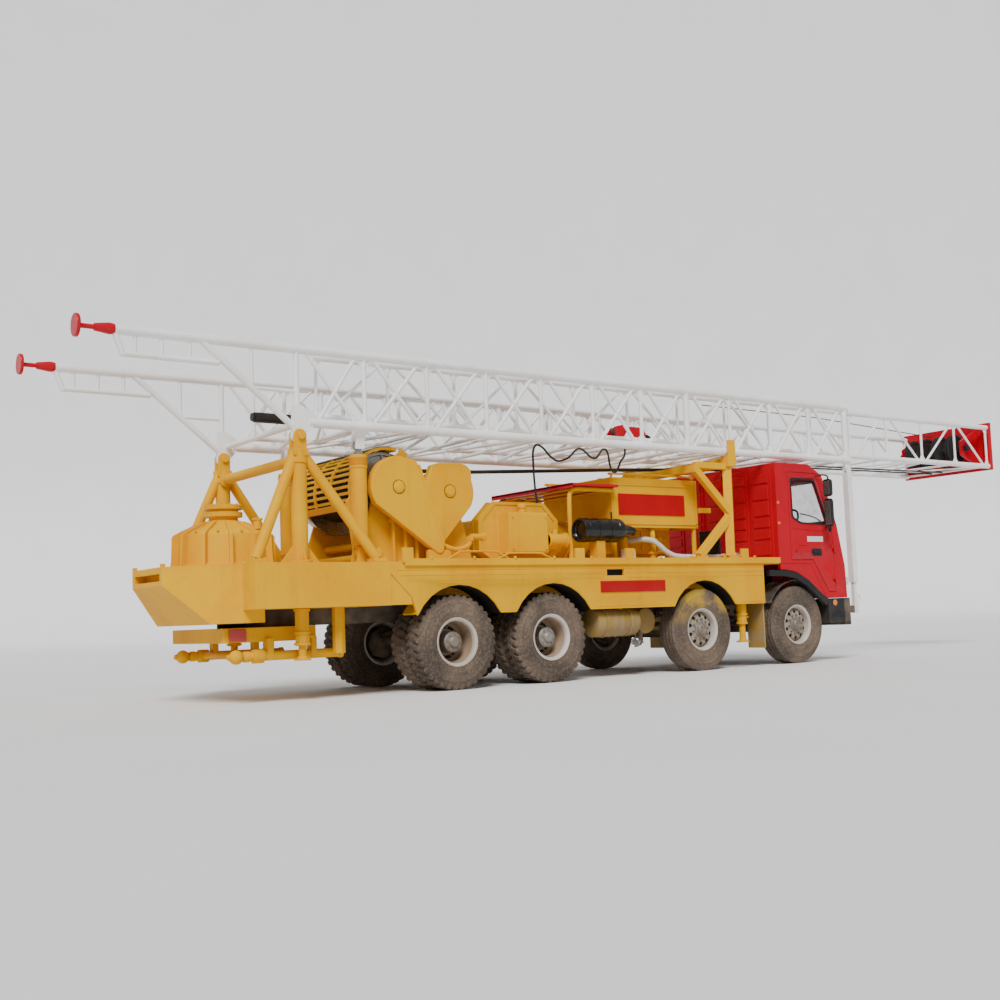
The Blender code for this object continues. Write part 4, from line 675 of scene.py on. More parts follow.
class Workshop:
    """Makes pieces: keeps the frame and the finishes, and puts each mesh on its body."""

    def __init__(self, frame: dict) -> None:
        """Keep the loaded frame."""
        self.frame = frame
        self.finishes = Finishes()
        self.count = 0

    def piece(self, name: str, body: str, finish: object, parts: Sequence[Mesh], bevel: float = 0.0,
              replaces: Sequence[str] = (), crease: float = 35.0, segments: int = 2) -> bpy.types.Object:
        """Make one piece.

        Args:
            name: the piece's name.
            body: the frame's body it rides on.
            finish: its finish.
            parts: meshes in the truck's frame.
            bevel: the width of its rounded edges, or 0.
            replaces: the frame's nodes it stands for.
            crease: edges sharper than this many degrees stay sharp.
            segments: rounds of each bevelled edge.

        Returns:
            The piece's object.
        """
        points, faces = joined(parts)
        mesh = bpy.data.meshes.new(name)
        mesh.from_pydata(points - np.array([CENTRE_X, 0, 0]), [], faces)
        work = bmesh.new()
        work.from_mesh(mesh)
        bmesh.ops.remove_doubles(work, verts=work.verts, dist=MERGE)
        bmesh.ops.dissolve_degenerate(work, edges=work.edges, dist=MERGE / 2)
        bmesh.ops.recalc_face_normals(work, faces=work.faces)
        work.to_mesh(mesh)
        work.free()
        return self.finished(name, mesh, body, finish, bevel, replaces, crease, segments)

    def fixed(self, name: str, finish: object, parts: Sequence[Mesh],
              **choices: object) -> bpy.types.Object:
        """Make one piece that stands on the carrier; see piece for the arguments."""
        return self.piece(name, "carrier", finish, parts, **choices)

    def finished(self, name: str, mesh: bpy.types.Mesh, body: str, finish: object, bevel: float,
                 replaces: Sequence[str], crease: float, segments: int) -> bpy.types.Object:
        """Shade, bevel, paint and place a mesh; see piece for the arguments."""
        mesh.polygons.foreach_set("use_smooth", np.ones(len(mesh.polygons), bool))
        mesh.set_sharp_from_angle(angle=math.radians(crease))
        mesh.materials.clear()
        mesh.materials.append(self.finishes.get(finish))
        item = bpy.data.objects.new(name, mesh)
        bpy.context.scene.collection.objects.link(item)
        if bevel > 0:
            edge = item.modifiers.new("edges", "BEVEL")
            edge.width = bevel
            edge.segments = segments
            edge.limit_method = "ANGLE"
            edge.angle_limit = math.radians(crease)
            edge.harden_normals = True
            edge.miter_outer = "MITER_ARC"
        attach(item, body)
        if replaces:
            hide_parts(*replaces)
        self.count += 1
        LOG.info("%s on %s", name, body)
        return item

    def body(self, node: str) -> str:
        """The frame's body that a node belongs to."""
        return next(name for name, members in self.frame["record"]["behaviour"]["bodies"].items()
                    if node in members)

    def dress(self, node: str, finish: object, bevel: float = 0.0, crease: float = 35.0,
              width: Optional[Callable[[Vector, Vector], float]] = None,
              keep: Optional[tuple[Point, Point]] = None) -> bpy.types.Object:
        """Show a merged copy of a frame node with rounded edges.

        Args:
            node: the frame's node.
            finish: its finish.
            bevel: the width of the rounded edges.
            crease: edges sharper than this many degrees stay sharp or are rounded.
            width: each edge's share of that width, from its ends.
            keep: a point of a plane, in the truck's frame, and the normal of the side that is cut away.

        Returns:
            The copy.
        """
        source = self.frame["nodes"][node]
        mesh = source.data.copy()
        work = bmesh.new()
        work.from_mesh(mesh)
        bmesh.ops.remove_doubles(work, verts=work.verts, dist=NODE_MERGE)
        if keep is not None:
            spot = Vector(keep[0]) - Vector((CENTRE_X, 0, 0))
            everything = [*work.verts, *work.edges, *work.faces]
            bmesh.ops.bisect_plane(work, geom=everything, plane_co=spot, plane_no=keep[1],
                                   clear_outer=True)
            bmesh.ops.holes_fill(work, edges=[edge for edge in work.edges if edge.is_boundary], sides=0)
        bmesh.ops.dissolve_limit(work, angle_limit=math.radians(1.0), verts=work.verts, edges=work.edges)
        bmesh.ops.connect_verts_concave(work, faces=work.faces)
        if width is not None:
            layer = work.edges.layers.float.new("bevel_weight_edge")
            limit = math.radians(crease if crease < 20 else 12)
            for edge in work.edges:
                if len(edge.link_faces) == 2 and edge.calc_face_angle(0) > limit:
                    edge[layer] = width(edge.verts[0].co, edge.verts[1].co)
        work.to_mesh(mesh)
        work.free()
        item = self.finished(node + "_skin", mesh, self.body(node), finish, bevel, [node], crease, 2)
        if width is not None:
            item.modifiers["edges"].limit_method = "WEIGHT"
            item.modifiers["edges"].segments = 4
        return item


@dataclass
class Wheels:
    """Eight wheels with moulded tyres, dished or domed rims, studs and hubs."""

    shop: Workshop
    radius: float = 0.56
    width: float = 0.29
    face: float = 1.17
    pitch: float = 0.33
    bead: float = 0.2625
    turns: int = 432
    lugs: int = 36
    lug_depth: float = 0.020
    groove: float = 0.055
    soften: float = 0.02
    zigs: int = 54
    sipes: int = 108
    ribs: tuple = (-0.62, -0.22, 0.22, 0.62)
    rib_depth: float = 0.013
    sipe_depth: float = 0.008
    axles: tuple = (("1", 5.96, False), ("2", 4.02, False), ("3", 1.40, True), ("4", 0.0, True))

    def tyre(self, x: float, side: Side, outer: float, tread: Tread) -> Mesh:
        """One tyre.

        Point (s, t) is the section's point at s, turned by t about the axle, with the tread pushed in
        between lugs: a groove is one where a repeating wave of the angle, leaning one way on each half
        of the tread, falls below a level, or where a rib's groove runs round.

        Args:
            x: the axle's place.
            side: which side.
            outer: the outer face's distance from the middle.
            tread: the pattern.

        Returns:
            The tyre's mesh.
        """
        half = self.width / 2
        section = [(self.bead, half - 0.035), (0.275, half - 0.020), (0.290, half - 0.012),
                   (0.305, half - 0.009), (0.320, half - 0.006), (0.345, half - 0.0025),
                   (0.350, half + 0.0005), (0.362, half + 0.0005), (0.367, half - 0.002), (0.40, half),
                   (0.43, half), (0.455, half - 0.002), (0.460, half + 0.001), (0.468, half + 0.001),
                   (0.473, half - 0.004), (0.495, half - 0.007), (0.515, half - 0.011),
                   (0.532, half - 0.016), (0.546, half - 0.022)]
        crown = np.linspace(half - 0.026, 0, 12)
        profile = np.array(section + [(self.radius - 0.010 * (w / half) ** 4, w) for w in crown])
        profile = np.concatenate([profile, profile[-2::-1] * [1, -1]])
        turns = self.turns
        angle = np.linspace(0, 2 * np.pi, turns, endpoint=False)
        across = profile[:, 1, None] / half
        size = np.repeat(profile[:, 0, None], turns, 1)
        zone = ramp(size, 0.490, 0.02)
        if tread is Tread.LUG:
            lean = np.where(across > 0, 1.0, -1.0)
            wave = np.sin(angle[None] * self.lugs + across * 3.0 * lean + np.where(across > 0, 0, np.pi))
            gap = ramp(wave, 0.10, 0.25) * ramp(np.abs(across), 0.16, 0.05)
            snake = np.abs(across + 0.07 * np.sin(angle[None] * self.lugs))
            depth = np.maximum(gap, fall(snake, self.groove, self.soften)) * self.lug_depth
        else:
            zig = 0.05 * np.sin(angle[None] * self.zigs)
            groove = np.zeros_like(size)
            for line in self.ribs:
                groove = np.maximum(groove, fall(np.abs(across - line + zig), self.groove, self.soften))
            edge = ramp(np.sin(angle[None] * self.sipes), 0.35, 0.3) * ramp(np.abs(across), 0.86, 0.05)
            depth = np.maximum(groove * self.rib_depth, edge * self.sipe_depth)
        size = size - depth * zone
        middle = outer - half
        y = side.value * (middle + profile[:, 1, None] + 0 * angle[None])
        points = np.stack([x + size * np.sin(angle), y, self.radius + size * np.cos(angle)], -1)
        count = len(profile)
        return points.reshape(-1, 3), grid_faces(count, turns, True) + closing(count, turns)

    @staticmethod
    def lip(out: float) -> list:
        """The profile of a barrel's outer lip, with its face at out."""
        return [(0.2585, out - 0.030), (0.268, out - 0.022), (0.284, out - 0.008), (0.288, out - 0.002),
                (0.284, out), (0.270, out - 0.004), (0.252, out - 0.020), (0.246, out - 0.05)]

    @staticmethod
    def back_lip(inner: float) -> list:
        """The profile of a barrel's inner lip, with its face at inner."""
        return [(0.270, inner), (0.288, inner + 0.004), (0.268, inner + 0.02), (0.2585, inner + 0.030)]

    def rear_rim(self, x: float, side: Side) -> dict:
        """The pair of barrels, the deep dished disc, the ring of nuts and the long hub."""
        axis = (0, side.value, 0)
        centre = (x, 0, self.radius)
        out, inner = self.face - 0.004, self.face - self.pitch - self.width + 0.004
        barrel = [*self.lip(out), (0.243, 0.98), (0.236, 0.90), (0.205, 0.872), (0.150, 0.868),
                  (0.150, 0.856), (0.205, 0.858), (0.236, 0.83), (0.244, inner + 0.03),
                  *self.back_lip(inner)]
        lips = [turned(barrel, centre, axis, 72)]
        ring = [(0.286, self.face - self.width + 0.002), (0.30, self.face - self.width - 0.014),
                (0.30, self.face - self.pitch + 0.014), (0.286, self.face - self.pitch - 0.002)]
        lips.append(turned(ring, centre, axis, 48))
        dish = [turned([(0.2425, 1.11), (0.2405, 1.11), (0.238, 0.98), (0.233, 0.905), (0.205, 0.875),
                        (0.150, 0.871), (0.150, 0.8695), (0.206, 0.8735), (0.2355, 0.903),
                        (0.2405, 0.98)], centre, axis, 72)]
        hub = [(0.158, 0.86), (0.158, 0.90), (0.130, 0.905), (0.122, 0.93), (0.118, 1.03), (0.124, 1.035),
               (0.124, 1.06), (0.108, 1.075), (0.072, 1.08), (0.066, 1.10), (0.050, 1.115), (POLE, 1.118)]
        hubs = [turned(hub, centre, axis, 40)] + self.nuts(x, side, 0.178, 0.872, 10, 0.016)
        hubs += self.nuts(x, side, 0.094, 1.068, 8, 0.009)
        # A near-black ring of painted shade where the dish dips in behind the nuts.
        shade = [(0.155, 0.874), (0.200, 0.8775), (0.200, 0.8755), (0.155, 0.872)]
        dark = [turned(shade, centre, axis, 48)]
        return {Finishes.LIP: lips, Finishes.DISH: dish, Finishes.HUB: hubs, Finishes.DEEP: dark}

    def front_rim(self, x: float, side: Side) -> dict:
        """The single barrel, the domed disc with painted-shade cups where its hand holes are, the nuts
        and the hub cap.
        """
        axis = (0, side.value, 0)
        centre = (x, 0, self.radius)
        out, inner = self.face - 0.004, self.face - self.width + 0.004
        barrel = [*self.lip(out), (0.243, 1.05), (0.243, inner + 0.03), *self.back_lip(inner)]
        disc = [(0.2435, 1.040), (0.236, 1.062), (0.222, 1.085), (0.205, 1.103), (0.180, 1.112),
                (0.150, 1.112), (0.110, 1.110), (0.100, 1.112), (0.100, 1.098), (0.15, 1.098),
                (0.18, 1.096), (0.20, 1.088), (0.216, 1.072), (0.230, 1.048), (0.2435, 1.024)]
        hub = [(0.102, 1.09), (0.102, 1.125), (0.086, 1.135), (0.080, 1.165), (0.070, 1.178),
               (0.035, 1.184), (0.028, 1.178), (0.0001, 1.178)]
        return {Finishes.LIP: [turned(barrel, centre, axis, 72)],
                Finishes.RIM: [turned(disc, centre, axis, 72)],
                Finishes.HUB: [turned(hub, centre, axis, 40),
                               *self.nuts(x, side, 0.140, 1.110, 10, 0.016),
                               *self.nuts(x, side, 0.058, 1.178, 6, 0.007)],
                Finishes.DEEP: self.holes(x, side)}

    def nuts(self, x: float, side: Side, circle: float, start: float, count: int,
             size: float = 0.014) -> list:
        """Studs and nuts on a circle round the hub."""
        angle = np.linspace(0, 2 * np.pi, count, endpoint=False) + 0.16
        spots = [(x + circle * math.sin(a), side.value * start, self.radius + circle * math.cos(a))
                 for a in angle]
        push = side.value
        nut = [((px, py, pz), (px, py + push * 0.018, pz), size) for px, py, pz in spots]
        stud = [((px, py, pz), (px, py + push * 0.032, pz), size * 0.55) for px, py, pz in spots]
        return [bars(nut, 6), bars(stud, 8)]

    def holes(self, x: float, side: Side) -> list:
        """Near-black cups on the domed disc that paint the shade of its hand holes; no holes are cut."""
        parts = []
        for a in np.linspace(0, 2 * np.pi, 10, endpoint=False):
            px, pz = x + 0.192 * math.sin(a), self.radius + 0.192 * math.cos(a)
            tilt = Vector((math.sin(a) * 0.45, side.value, math.cos(a) * 0.45)).normalized()
            middle = Vector((px, side.value * 1.1075, pz))
            cup = [(POLE, -0.012), (0.026, -0.012), (0.026, 0.0005), (0.024, 0.0015), (POLE, 0.0015)]
            parts.append(turned(cup, tuple(middle), tuple(tilt), 20))
        return parts

    def build(self) -> None:
        """Make the tyres and rims of every wheel."""
        for label, x, dual in self.axles:
            for side in Side:
                body = f"wheel_{label}_{side.word}"
                kind = Tread.LUG if dual else Tread.RIB
                tyres = [self.tyre(x, side, self.face, kind)]
                if dual:
                    tyres.append(self.tyre(x, side, self.face - self.pitch, kind))
                rubber = Finishes.SPRAYED if label == "2" else Finishes.TYRE
                self.shop.piece(f"tyre_skin_{label}_{side.word}", body, rubber, tyres,
                                replaces=[f"tyre_{label}_{side.word}"], crease=42)
                rim = self.rear_rim(x, side) if dual else self.front_rim(x, side)
                for finish, parts in rim.items():
                    self.shop.piece(f"{finish.name}_{label}_{side.word}", body, finish, parts,
                                    replaces=[f"rim_{label}_{side.word}"]
                                    if finish is Finishes.LIP else [], crease=32)


@dataclass
class Mast:
    """The outer and inner masts in round tube, with gussets, crown and sheaves."""

    shop: Workshop
    x0: float = -1.94
    z0: float = 2.90
    half: float = 1.04
    low: float = 0.16
    top: float = 0.98
    length: float = 9.45
    panels: int = 11
    spread: float = 0.09
    leg: float = 2.05
    inner_half: float = 0.84
    inner_low: float = 0.265
    inner_top: float = 0.955
    start: float = 0.30
    inner_length: float = 13.25
    inner_panels: int = 14

    def outer(self) -> None:
        """The outer mast, its landing legs, lugs and guide pads."""
        x0, z0 = self.x0, self.z0
        low, top, end = z0 + self.low, z0 + self.top, x0 + self.length
        panel = (self.length - 0.07) / self.panels
        lines, gussets, feet = [], [], []
        for side in Side:
            y = side.value * self.half
            lines += [((x0 - self.leg, y, top), (end, y, top), 0.054),
                      ((x0 + 0.13, y, low), (end, y, low), 0.054),
                      ((x0, y, z0 + 0.05), (x0, y, top), 0.032)]
            for index in range(self.panels):
                a, b = x0 + index * panel, x0 + (index + 1) * panel
                first = a + (0.24 if index == 0 else self.spread)
                lines += [((first, y, low), (b - self.spread, y, top), 0.024),
                          ((a + self.spread, y, top), (b - self.spread, y, low), 0.023),
                          ((b, y, low), (b, y, top), 0.044 if index in (6, self.panels - 1) else 0.026)]
                middle = ((a + b) / 2 + (0.075 if index == 0 else 0), (low + top) / 2)
                if index > 0:
                    gussets.append(slab([(middle[0] - 0.07, middle[1]), (middle[0], middle[1] - 0.07),
                                         (middle[0] + 0.07, middle[1]), (middle[0], middle[1] + 0.07)],
                                        y - 0.006, y + 0.006))
                for height, sign in ((low, 1), (top, -1)):
                    gussets.append(slab([(b - 0.13, height), (b + 0.13, height),
                                         (b + 0.045, height + sign * 0.13),
                                         (b - 0.045, height + sign * 0.13)], y - 0.006, y + 0.006))
            lines += [((x0 - 2.02, y, top), (x0 - 1.92, y, z0 + 0.72), 0.032),
                      ((x0 - 1.94, y, z0 + 0.735), (x0 - 0.90, y, z0 + 0.735), 0.031),
                      ((x0 - 1.12, y, top), (x0 - 0.02, y, z0 + 0.08), 0.038),
                      ((x0 - 0.53, y, z0 + 0.48), (x0 - 0.53, y, top), 0.024),
                      ((x0 - 0.53, y, z0 + 0.50), (x0, y, z0 + 0.50), 0.022)]
            lines += [((x0 + x, y, z0 + 0.735), (x0 + x, y, top), 0.022) for x in (-1.80, -1.52, -1.22)]
            tip = x0 - self.leg
            feet.append(turned([(0.050, 0.06), (0.060, 0.0), (0.060, -0.02), (0.040, -0.16),
                                (0.026, -0.17), (0.026, -0.32), (0.118, -0.325), (0.120, -0.335),
                                (0.120, -0.352), (0.116, -0.36), (0.0001, -0.36)], (tip, y, top),
                               (1, 0, 0), 32))
            lug = arc((x0, z0), 0.072, 160, 350, 12) + [(x0 + 0.20, low - 0.03), (x0 + 0.30, low + 0.02),
                                                      (x0 + 0.05, z0 + 0.34), (x0 - 0.05, z0 + 0.34)]
            gussets.append(slab(lug, y - 0.034, y + 0.034))
            eye = [(CYLINDER_X - 0.06, 2.81), (CYLINDER_X + 0.05, 2.81), (x0 + panel + 0.04, low),
                   (x0 + panel - 0.08, low + 0.02)]
            for step in (-1, 1):
                inner = side.value * CYLINDER_Y + step * 0.041
                gussets.append(slab(eye, inner, inner + step * 0.02))
            for x in (x0 + panel, end - 0.07):
                gussets.append(block((x - 0.03, x + 0.03), sorted((side.value * 0.79, side.value * 0.86)),
                                     (low, 3.122)))
        for index in range(self.panels + 1):
            x = x0 + index * panel + (0.06 if index == 0 else 0)
            lines.append(((x, -self.half, low), (x, self.half, low), 0.036 if index == 0 else 0.024))
            if index < self.panels:
                lean = 1 if index % 2 else -1
                lines.append(((x + self.spread, lean * self.half, low),
                              (x0 + (index + 1) * panel - self.spread, -lean * self.half, low), 0.021))
        gussets.append(slab([(7.37, low), (7.51, low), (7.48, z0 - 0.01), (7.40, z0 - 0.01)],
                            -self.half - 0.015, -self.half + 0.015))
        self.shop.piece("mast_lower_tubes", "mast_lower", Finishes.WHITE,
                        [bars(lines, 14), *gussets], replaces=["mast_lower"], crease=40)
        self.shop.piece("landing_feet", "mast_lower", Finishes.RED, feet, crease=30)

    def inner(self) -> None:
        """The inner mast and the rod that pushes it."""
        x0, z0 = self.x0, self.z0
        low, top = z0 + self.inner_low, z0 + self.inner_top
        start, end = x0 + self.start, x0 + self.start + self.inner_length
        panel = (self.inner_length - 0.08) / self.inner_panels
        lines, plates = [], []
        for side in Side:
            y = side.value * self.inner_half
            lines += [((start, y, low), (end, y, low), 0.0425), ((start, y, top), (end, y, top), 0.0425)]
            for index in range(self.inner_panels + 1):
                a = start + 0.04 + index * panel
                lines.append(((a, y, low), (a, y, top), 0.020))
                for height, sign in ((low, 1), (top, -1)):
                    plates.append(slab([(a - 0.09, height), (a + 0.09, height),
                                        (a + 0.03, height + sign * 0.10),
                                        (a - 0.03, height + sign * 0.10)], y - 0.005, y + 0.005))
                if index < self.inner_panels:
                    rises = index % 2 == 0
                    lines.append(((a + self.spread, y, low if rises else top),
                                  (a + panel - self.spread, y, top if rises else low), 0.019))
        for index in range(self.inner_panels + 1):
            x = start + 0.04 + index * panel
            lines.append(((x, -self.inner_half, low), (x, self.inner_half, low), 0.019))
            if index < self.inner_panels:
                lean = 1 if index % 2 else -1
                lines.append(((x + self.spread, lean * self.inner_half, low),
                              (x + panel - self.spread, -lean * self.inner_half, low), 0.016))
        eye = start + 0.04 + 8 * panel
        plates.append(block((eye - 0.03, eye + 0.03), (-0.05, 0.05), (low - 0.02, z0 + 0.42)))
        self.shop.piece("mast_upper_tubes", "mast_upper", Finishes.WHITE, [bars(lines, 12), *plates],
                        replaces=["mast_upper"], crease=40)
        poles = [((x0 + 0.25, 0, z0 + 0.37), (eye, 0, z0 + 0.37), 0.036)]
        self.shop.piece("extension_rod", "mast_upper", Finishes.STEEL, [bars(poles, 24)], crease=30)

    def crown(self) -> None:
        """The crown's red end plate, cheeks, shaft and grooved sheaves."""
        end = self.x0 + self.start + self.inner_length
        z0 = self.z0
        axle_x, axle_z = end - 0.34, z0 + 0.60
        cheeks = [slab([(axle_x - 0.12, axle_z - 0.12), (end + 0.01, axle_z - 0.30),
                        (end + 0.01, axle_z + 0.34), (axle_x - 0.12, axle_z + 0.12)], y, y + 0.04)
                  for y in (-0.62, 0.58)]
        plate = [block((end, end + 0.06), (-0.90, 0.90), (z0 + 0.20, z0 + 1.04)),
                 block((end + 0.02, end + 0.09), (-0.80, 0.80), (z0 + 0.96, z0 + 1.02))]
        self.shop.piece("crown_plate", "mast_upper", Finishes.RED, plate + cheeks, bevel=0.006,
                        replaces=["crown_block"])
        groove = [(0.06, -0.03), (0.10, -0.03), (0.10, -0.018), (0.215, -0.016), (0.225, -0.028),
                  (0.262, -0.030), (0.270, -0.026), (0.268, -0.018), (0.236, -0.008), (0.230, 0.0),
                  (0.236, 0.008), (0.268, 0.018), (0.270, 0.026), (0.262, 0.030), (0.225, 0.028),
                  (0.215, 0.016), (0.10, 0.018), (0.10, 0.03), (0.06, 0.03)]
        sheaves = [turned(groove, (axle_x, y, axle_z), (0, 1, 0), 48) for y in (-0.42, -0.14, 0.14, 0.42)]
        shaft = bars([((axle_x, -0.70, axle_z), (axle_x, 0.70, axle_z), 0.05)], 24)
        self.shop.piece("crown_sheaves", "mast_upper", Finishes.BLACK, [*sheaves, shaft], crease=30)

    def build(self) -> None:
        """Make both masts and the crown."""
        self.outer()
        self.inner()
        self.crown()


@dataclass
class Supports:
    """The pipe A-frames, raising cylinders and jacks."""

    shop: Workshop
    hinge: float = -1.94
    track: float = 1.04

    def frames(self, side: Side) -> None:
        """One A-frame: upright, stays, foot plates with bolts, head plates and the hinge pin."""
        x, y, sign = self.hinge, side.value * self.track, side.value
        pipes = [rod(0.09, (x, y, DECK), (x, y, 2.75), 40), rod(0.135, (x, y, DECK), (x, y, 1.525), 40),
                 rod(0.104, (x, y, 2.60), (x, y, 2.66), 40),
                 rod(0.035, (x, y - 0.095, 2.90), (x, y + 0.095, 2.90), 28),
                 rod(0.048, (x, y - 0.104, 2.90), (x, y - 0.088, 2.90), 6),
                 rod(0.048, (x, y + 0.088, 2.90), (x, y + 0.104, 2.90), 6)]
        plates = [block((x - 0.09, x + 0.09), (y - 0.08, y + 0.08), (2.68, 2.76)),
                  slab([(x - 0.24, DECK), (x + 0.24, DECK), (x + 0.05, 1.74), (x - 0.05, 1.74)],
                       y - 0.010, y + 0.010),
                  slab([(y - 0.16, DECK), (y + 0.16, DECK), (y + 0.05, 1.70), (y - 0.05, 1.70)],
                       x - 0.010, x + 0.010, "YZ")]
        spots = [(x + 0.115 * math.cos(a), y + 0.115 * math.sin(a), 1.525)
                 for a in np.radians(range(22, 360, 45))]
        for foot_x, foot_y, lean in ((-2.49, 1.10, -0.03), (-1.05, 1.15, 0.03)):
            foot = (foot_x, sign * foot_y, 1.545)
            pipes.append(rod(0.06, foot, (x + lean, y, 2.735), 32))
            plates.append(block((foot_x - 0.075, foot_x + 0.09), (foot[1] - 0.09, foot[1] + 0.09),
                                (DECK, 1.545)))
            plates.append(slab([(foot_x - 0.07, 1.54), (foot_x + 0.08, 1.54),
                                (foot_x + 0.03 + lean, 1.66), (foot_x - 0.01 + lean, 1.66)],
                               foot[1] - 0.008, foot[1] + 0.008))
            spots += [(foot_x + dx, foot[1] + dy, 1.545) for dx in (-0.055, 0.07)
                      for dy in (-0.068, 0.068)]
        cheek = [(x - 0.075, 2.69), (x + 0.075, 2.69)] + arc((x, 2.90), 0.075, 0, 180, 20)
        for step in (-1, 1):
            inner = y + step * 0.041
            plates.append(slab(cheek, inner, inner + step * 0.03))
        name = f"a_frame_{side.word}"
        self.shop.fixed(name + "_pipes", Finishes.YELLOW, [*pipes, bolts(spots, (0, 0, 1))],
                        replaces=[name], crease=32)
        self.shop.fixed(name + "_plates", Finishes.YELLOW, plates, bevel=0.004)

    def cylinder(self, side: Side) -> None:
        """One raising cylinder with its gland, band and base eye, and its rod with the top eye."""
        x, y = CYLINDER_X, side.value * CYLINDER_Y
        barrel = [(POLE, 1.706), (0.088, 1.706), (0.095, 1.714), (0.095, 2.585), (0.103, 2.592),
                  (0.103, 2.735), (0.098, 2.741), (0.0575, 2.741), (0.0575, 1.80), (POLE, 1.80)]
        eye = [turned([(0.032, -0.044), (0.056, -0.044), (0.060, -0.040), (0.060, 0.040), (0.056, 0.044),
                       (0.032, 0.044)], (x, y, 1.62), (0, 1, 0), 32),
               slab([(x - 0.04, 1.655), (x + 0.04, 1.655), (x + 0.065, 1.715), (x - 0.065, 1.715)],
                    y - 0.035, y + 0.035)]
        self.shop.piece(f"ram_barrel_tube_{side.word}", f"ram_barrel_{side.word}", Finishes.YELLOW,
                        [turned(barrel, (x, y, 0), (0, 0, 1), 48), *eye],
                        replaces=[f"ram_barrel_{side.word}"], crease=32)
        self.shop.piece(f"ram_band_{side.word}", f"ram_barrel_{side.word}", Finishes.PRIMER,
                        [band((x, y, 2.665), (0, 0, 1), 0.103, 0.085, 0.003, 48)], crease=32)
        ring = turned([(0.031, -0.034), (0.046, -0.034), (0.050, -0.030), (0.050, 0.030), (0.046, 0.034),
                       (0.031, 0.034)], (x, y, 2.86), (0, 1, 0), 28)
        self.shop.piece(f"ram_rod_bar_{side.word}", f"ram_rod_{side.word}", Finishes.STEEL,
                        [rod(0.056, (x, y, 1.81), (x, y, 2.775), 36), ring,
                         block((x - 0.030, x + 0.030), (y - 0.028, y + 0.028), (2.76, 2.83))],
                        replaces=[f"ram_rod_{side.word}"], crease=32)

    def jacks(self, side: Side) -> None:
        """The two levelling jacks of one side."""
        for end, x, y, foot in (("rear", -1.88, 0.92, 0.44), ("front", 4.86, 1.10, 0.35)):
            y *= side.value
            shoe = turned([(POLE, 0), (0.086, 0), (0.095, 0.006), (0.095, 0.014), (0.060, 0.026),
                           (0.050, 0.05), (0.030, 0.052), (POLE, 0.052)], (x, y, foot), (0, 0, 1), 36)
            name = f"jack_leg_{end}_{side.word}"
            self.shop.piece(name + "_bar", name, Finishes.YELLOW,
                            [rod(0.0445, (x, y, foot + 0.04), (x, y, 1.12), 28), shoe], replaces=[name],
                            crease=32)
            top = 1.01 if end == "rear" else 1.43
            size = 0.08 if end == "rear" else 0.07
            rings = [band((x, y, z), (0, 0, 1), size, 0.025, 0.012, 32) for z in (0.62, 0.74, top - 0.02)]
            self.shop.fixed(name + "_sleeve", Finishes.YELLOW,
                            [*rings, rod(0.014, (x + size, y, 0.70), (x + size + 0.06, y, 0.70), 10)],
                            crease=32)

    def build(self) -> None:
        """Make both sides and the tie between them."""
        for side in Side:
            self.frames(side)
            self.cylinder(side)
            self.jacks(side)
        x = self.hinge
        tie = [rod(0.06, (x, -0.93, 2.64), (x, 0.955, 2.64), 32),
               rod(0.09, (x, -0.93, 2.64), (x, -0.905, 2.64), 32),
               rod(0.09, (x, 0.905, 2.64), (x, 0.93, 2.64), 32)]
        self.shop.fixed("a_frame_tie", Finishes.YELLOW, tie, crease=32)
        self.shop.fixed("a_frame_tie_pad", Finishes.YELLOW,
                        [block((x - 0.08, x + 0.08), (-0.98, -0.93), (2.56, 2.72))], bevel=0.004)


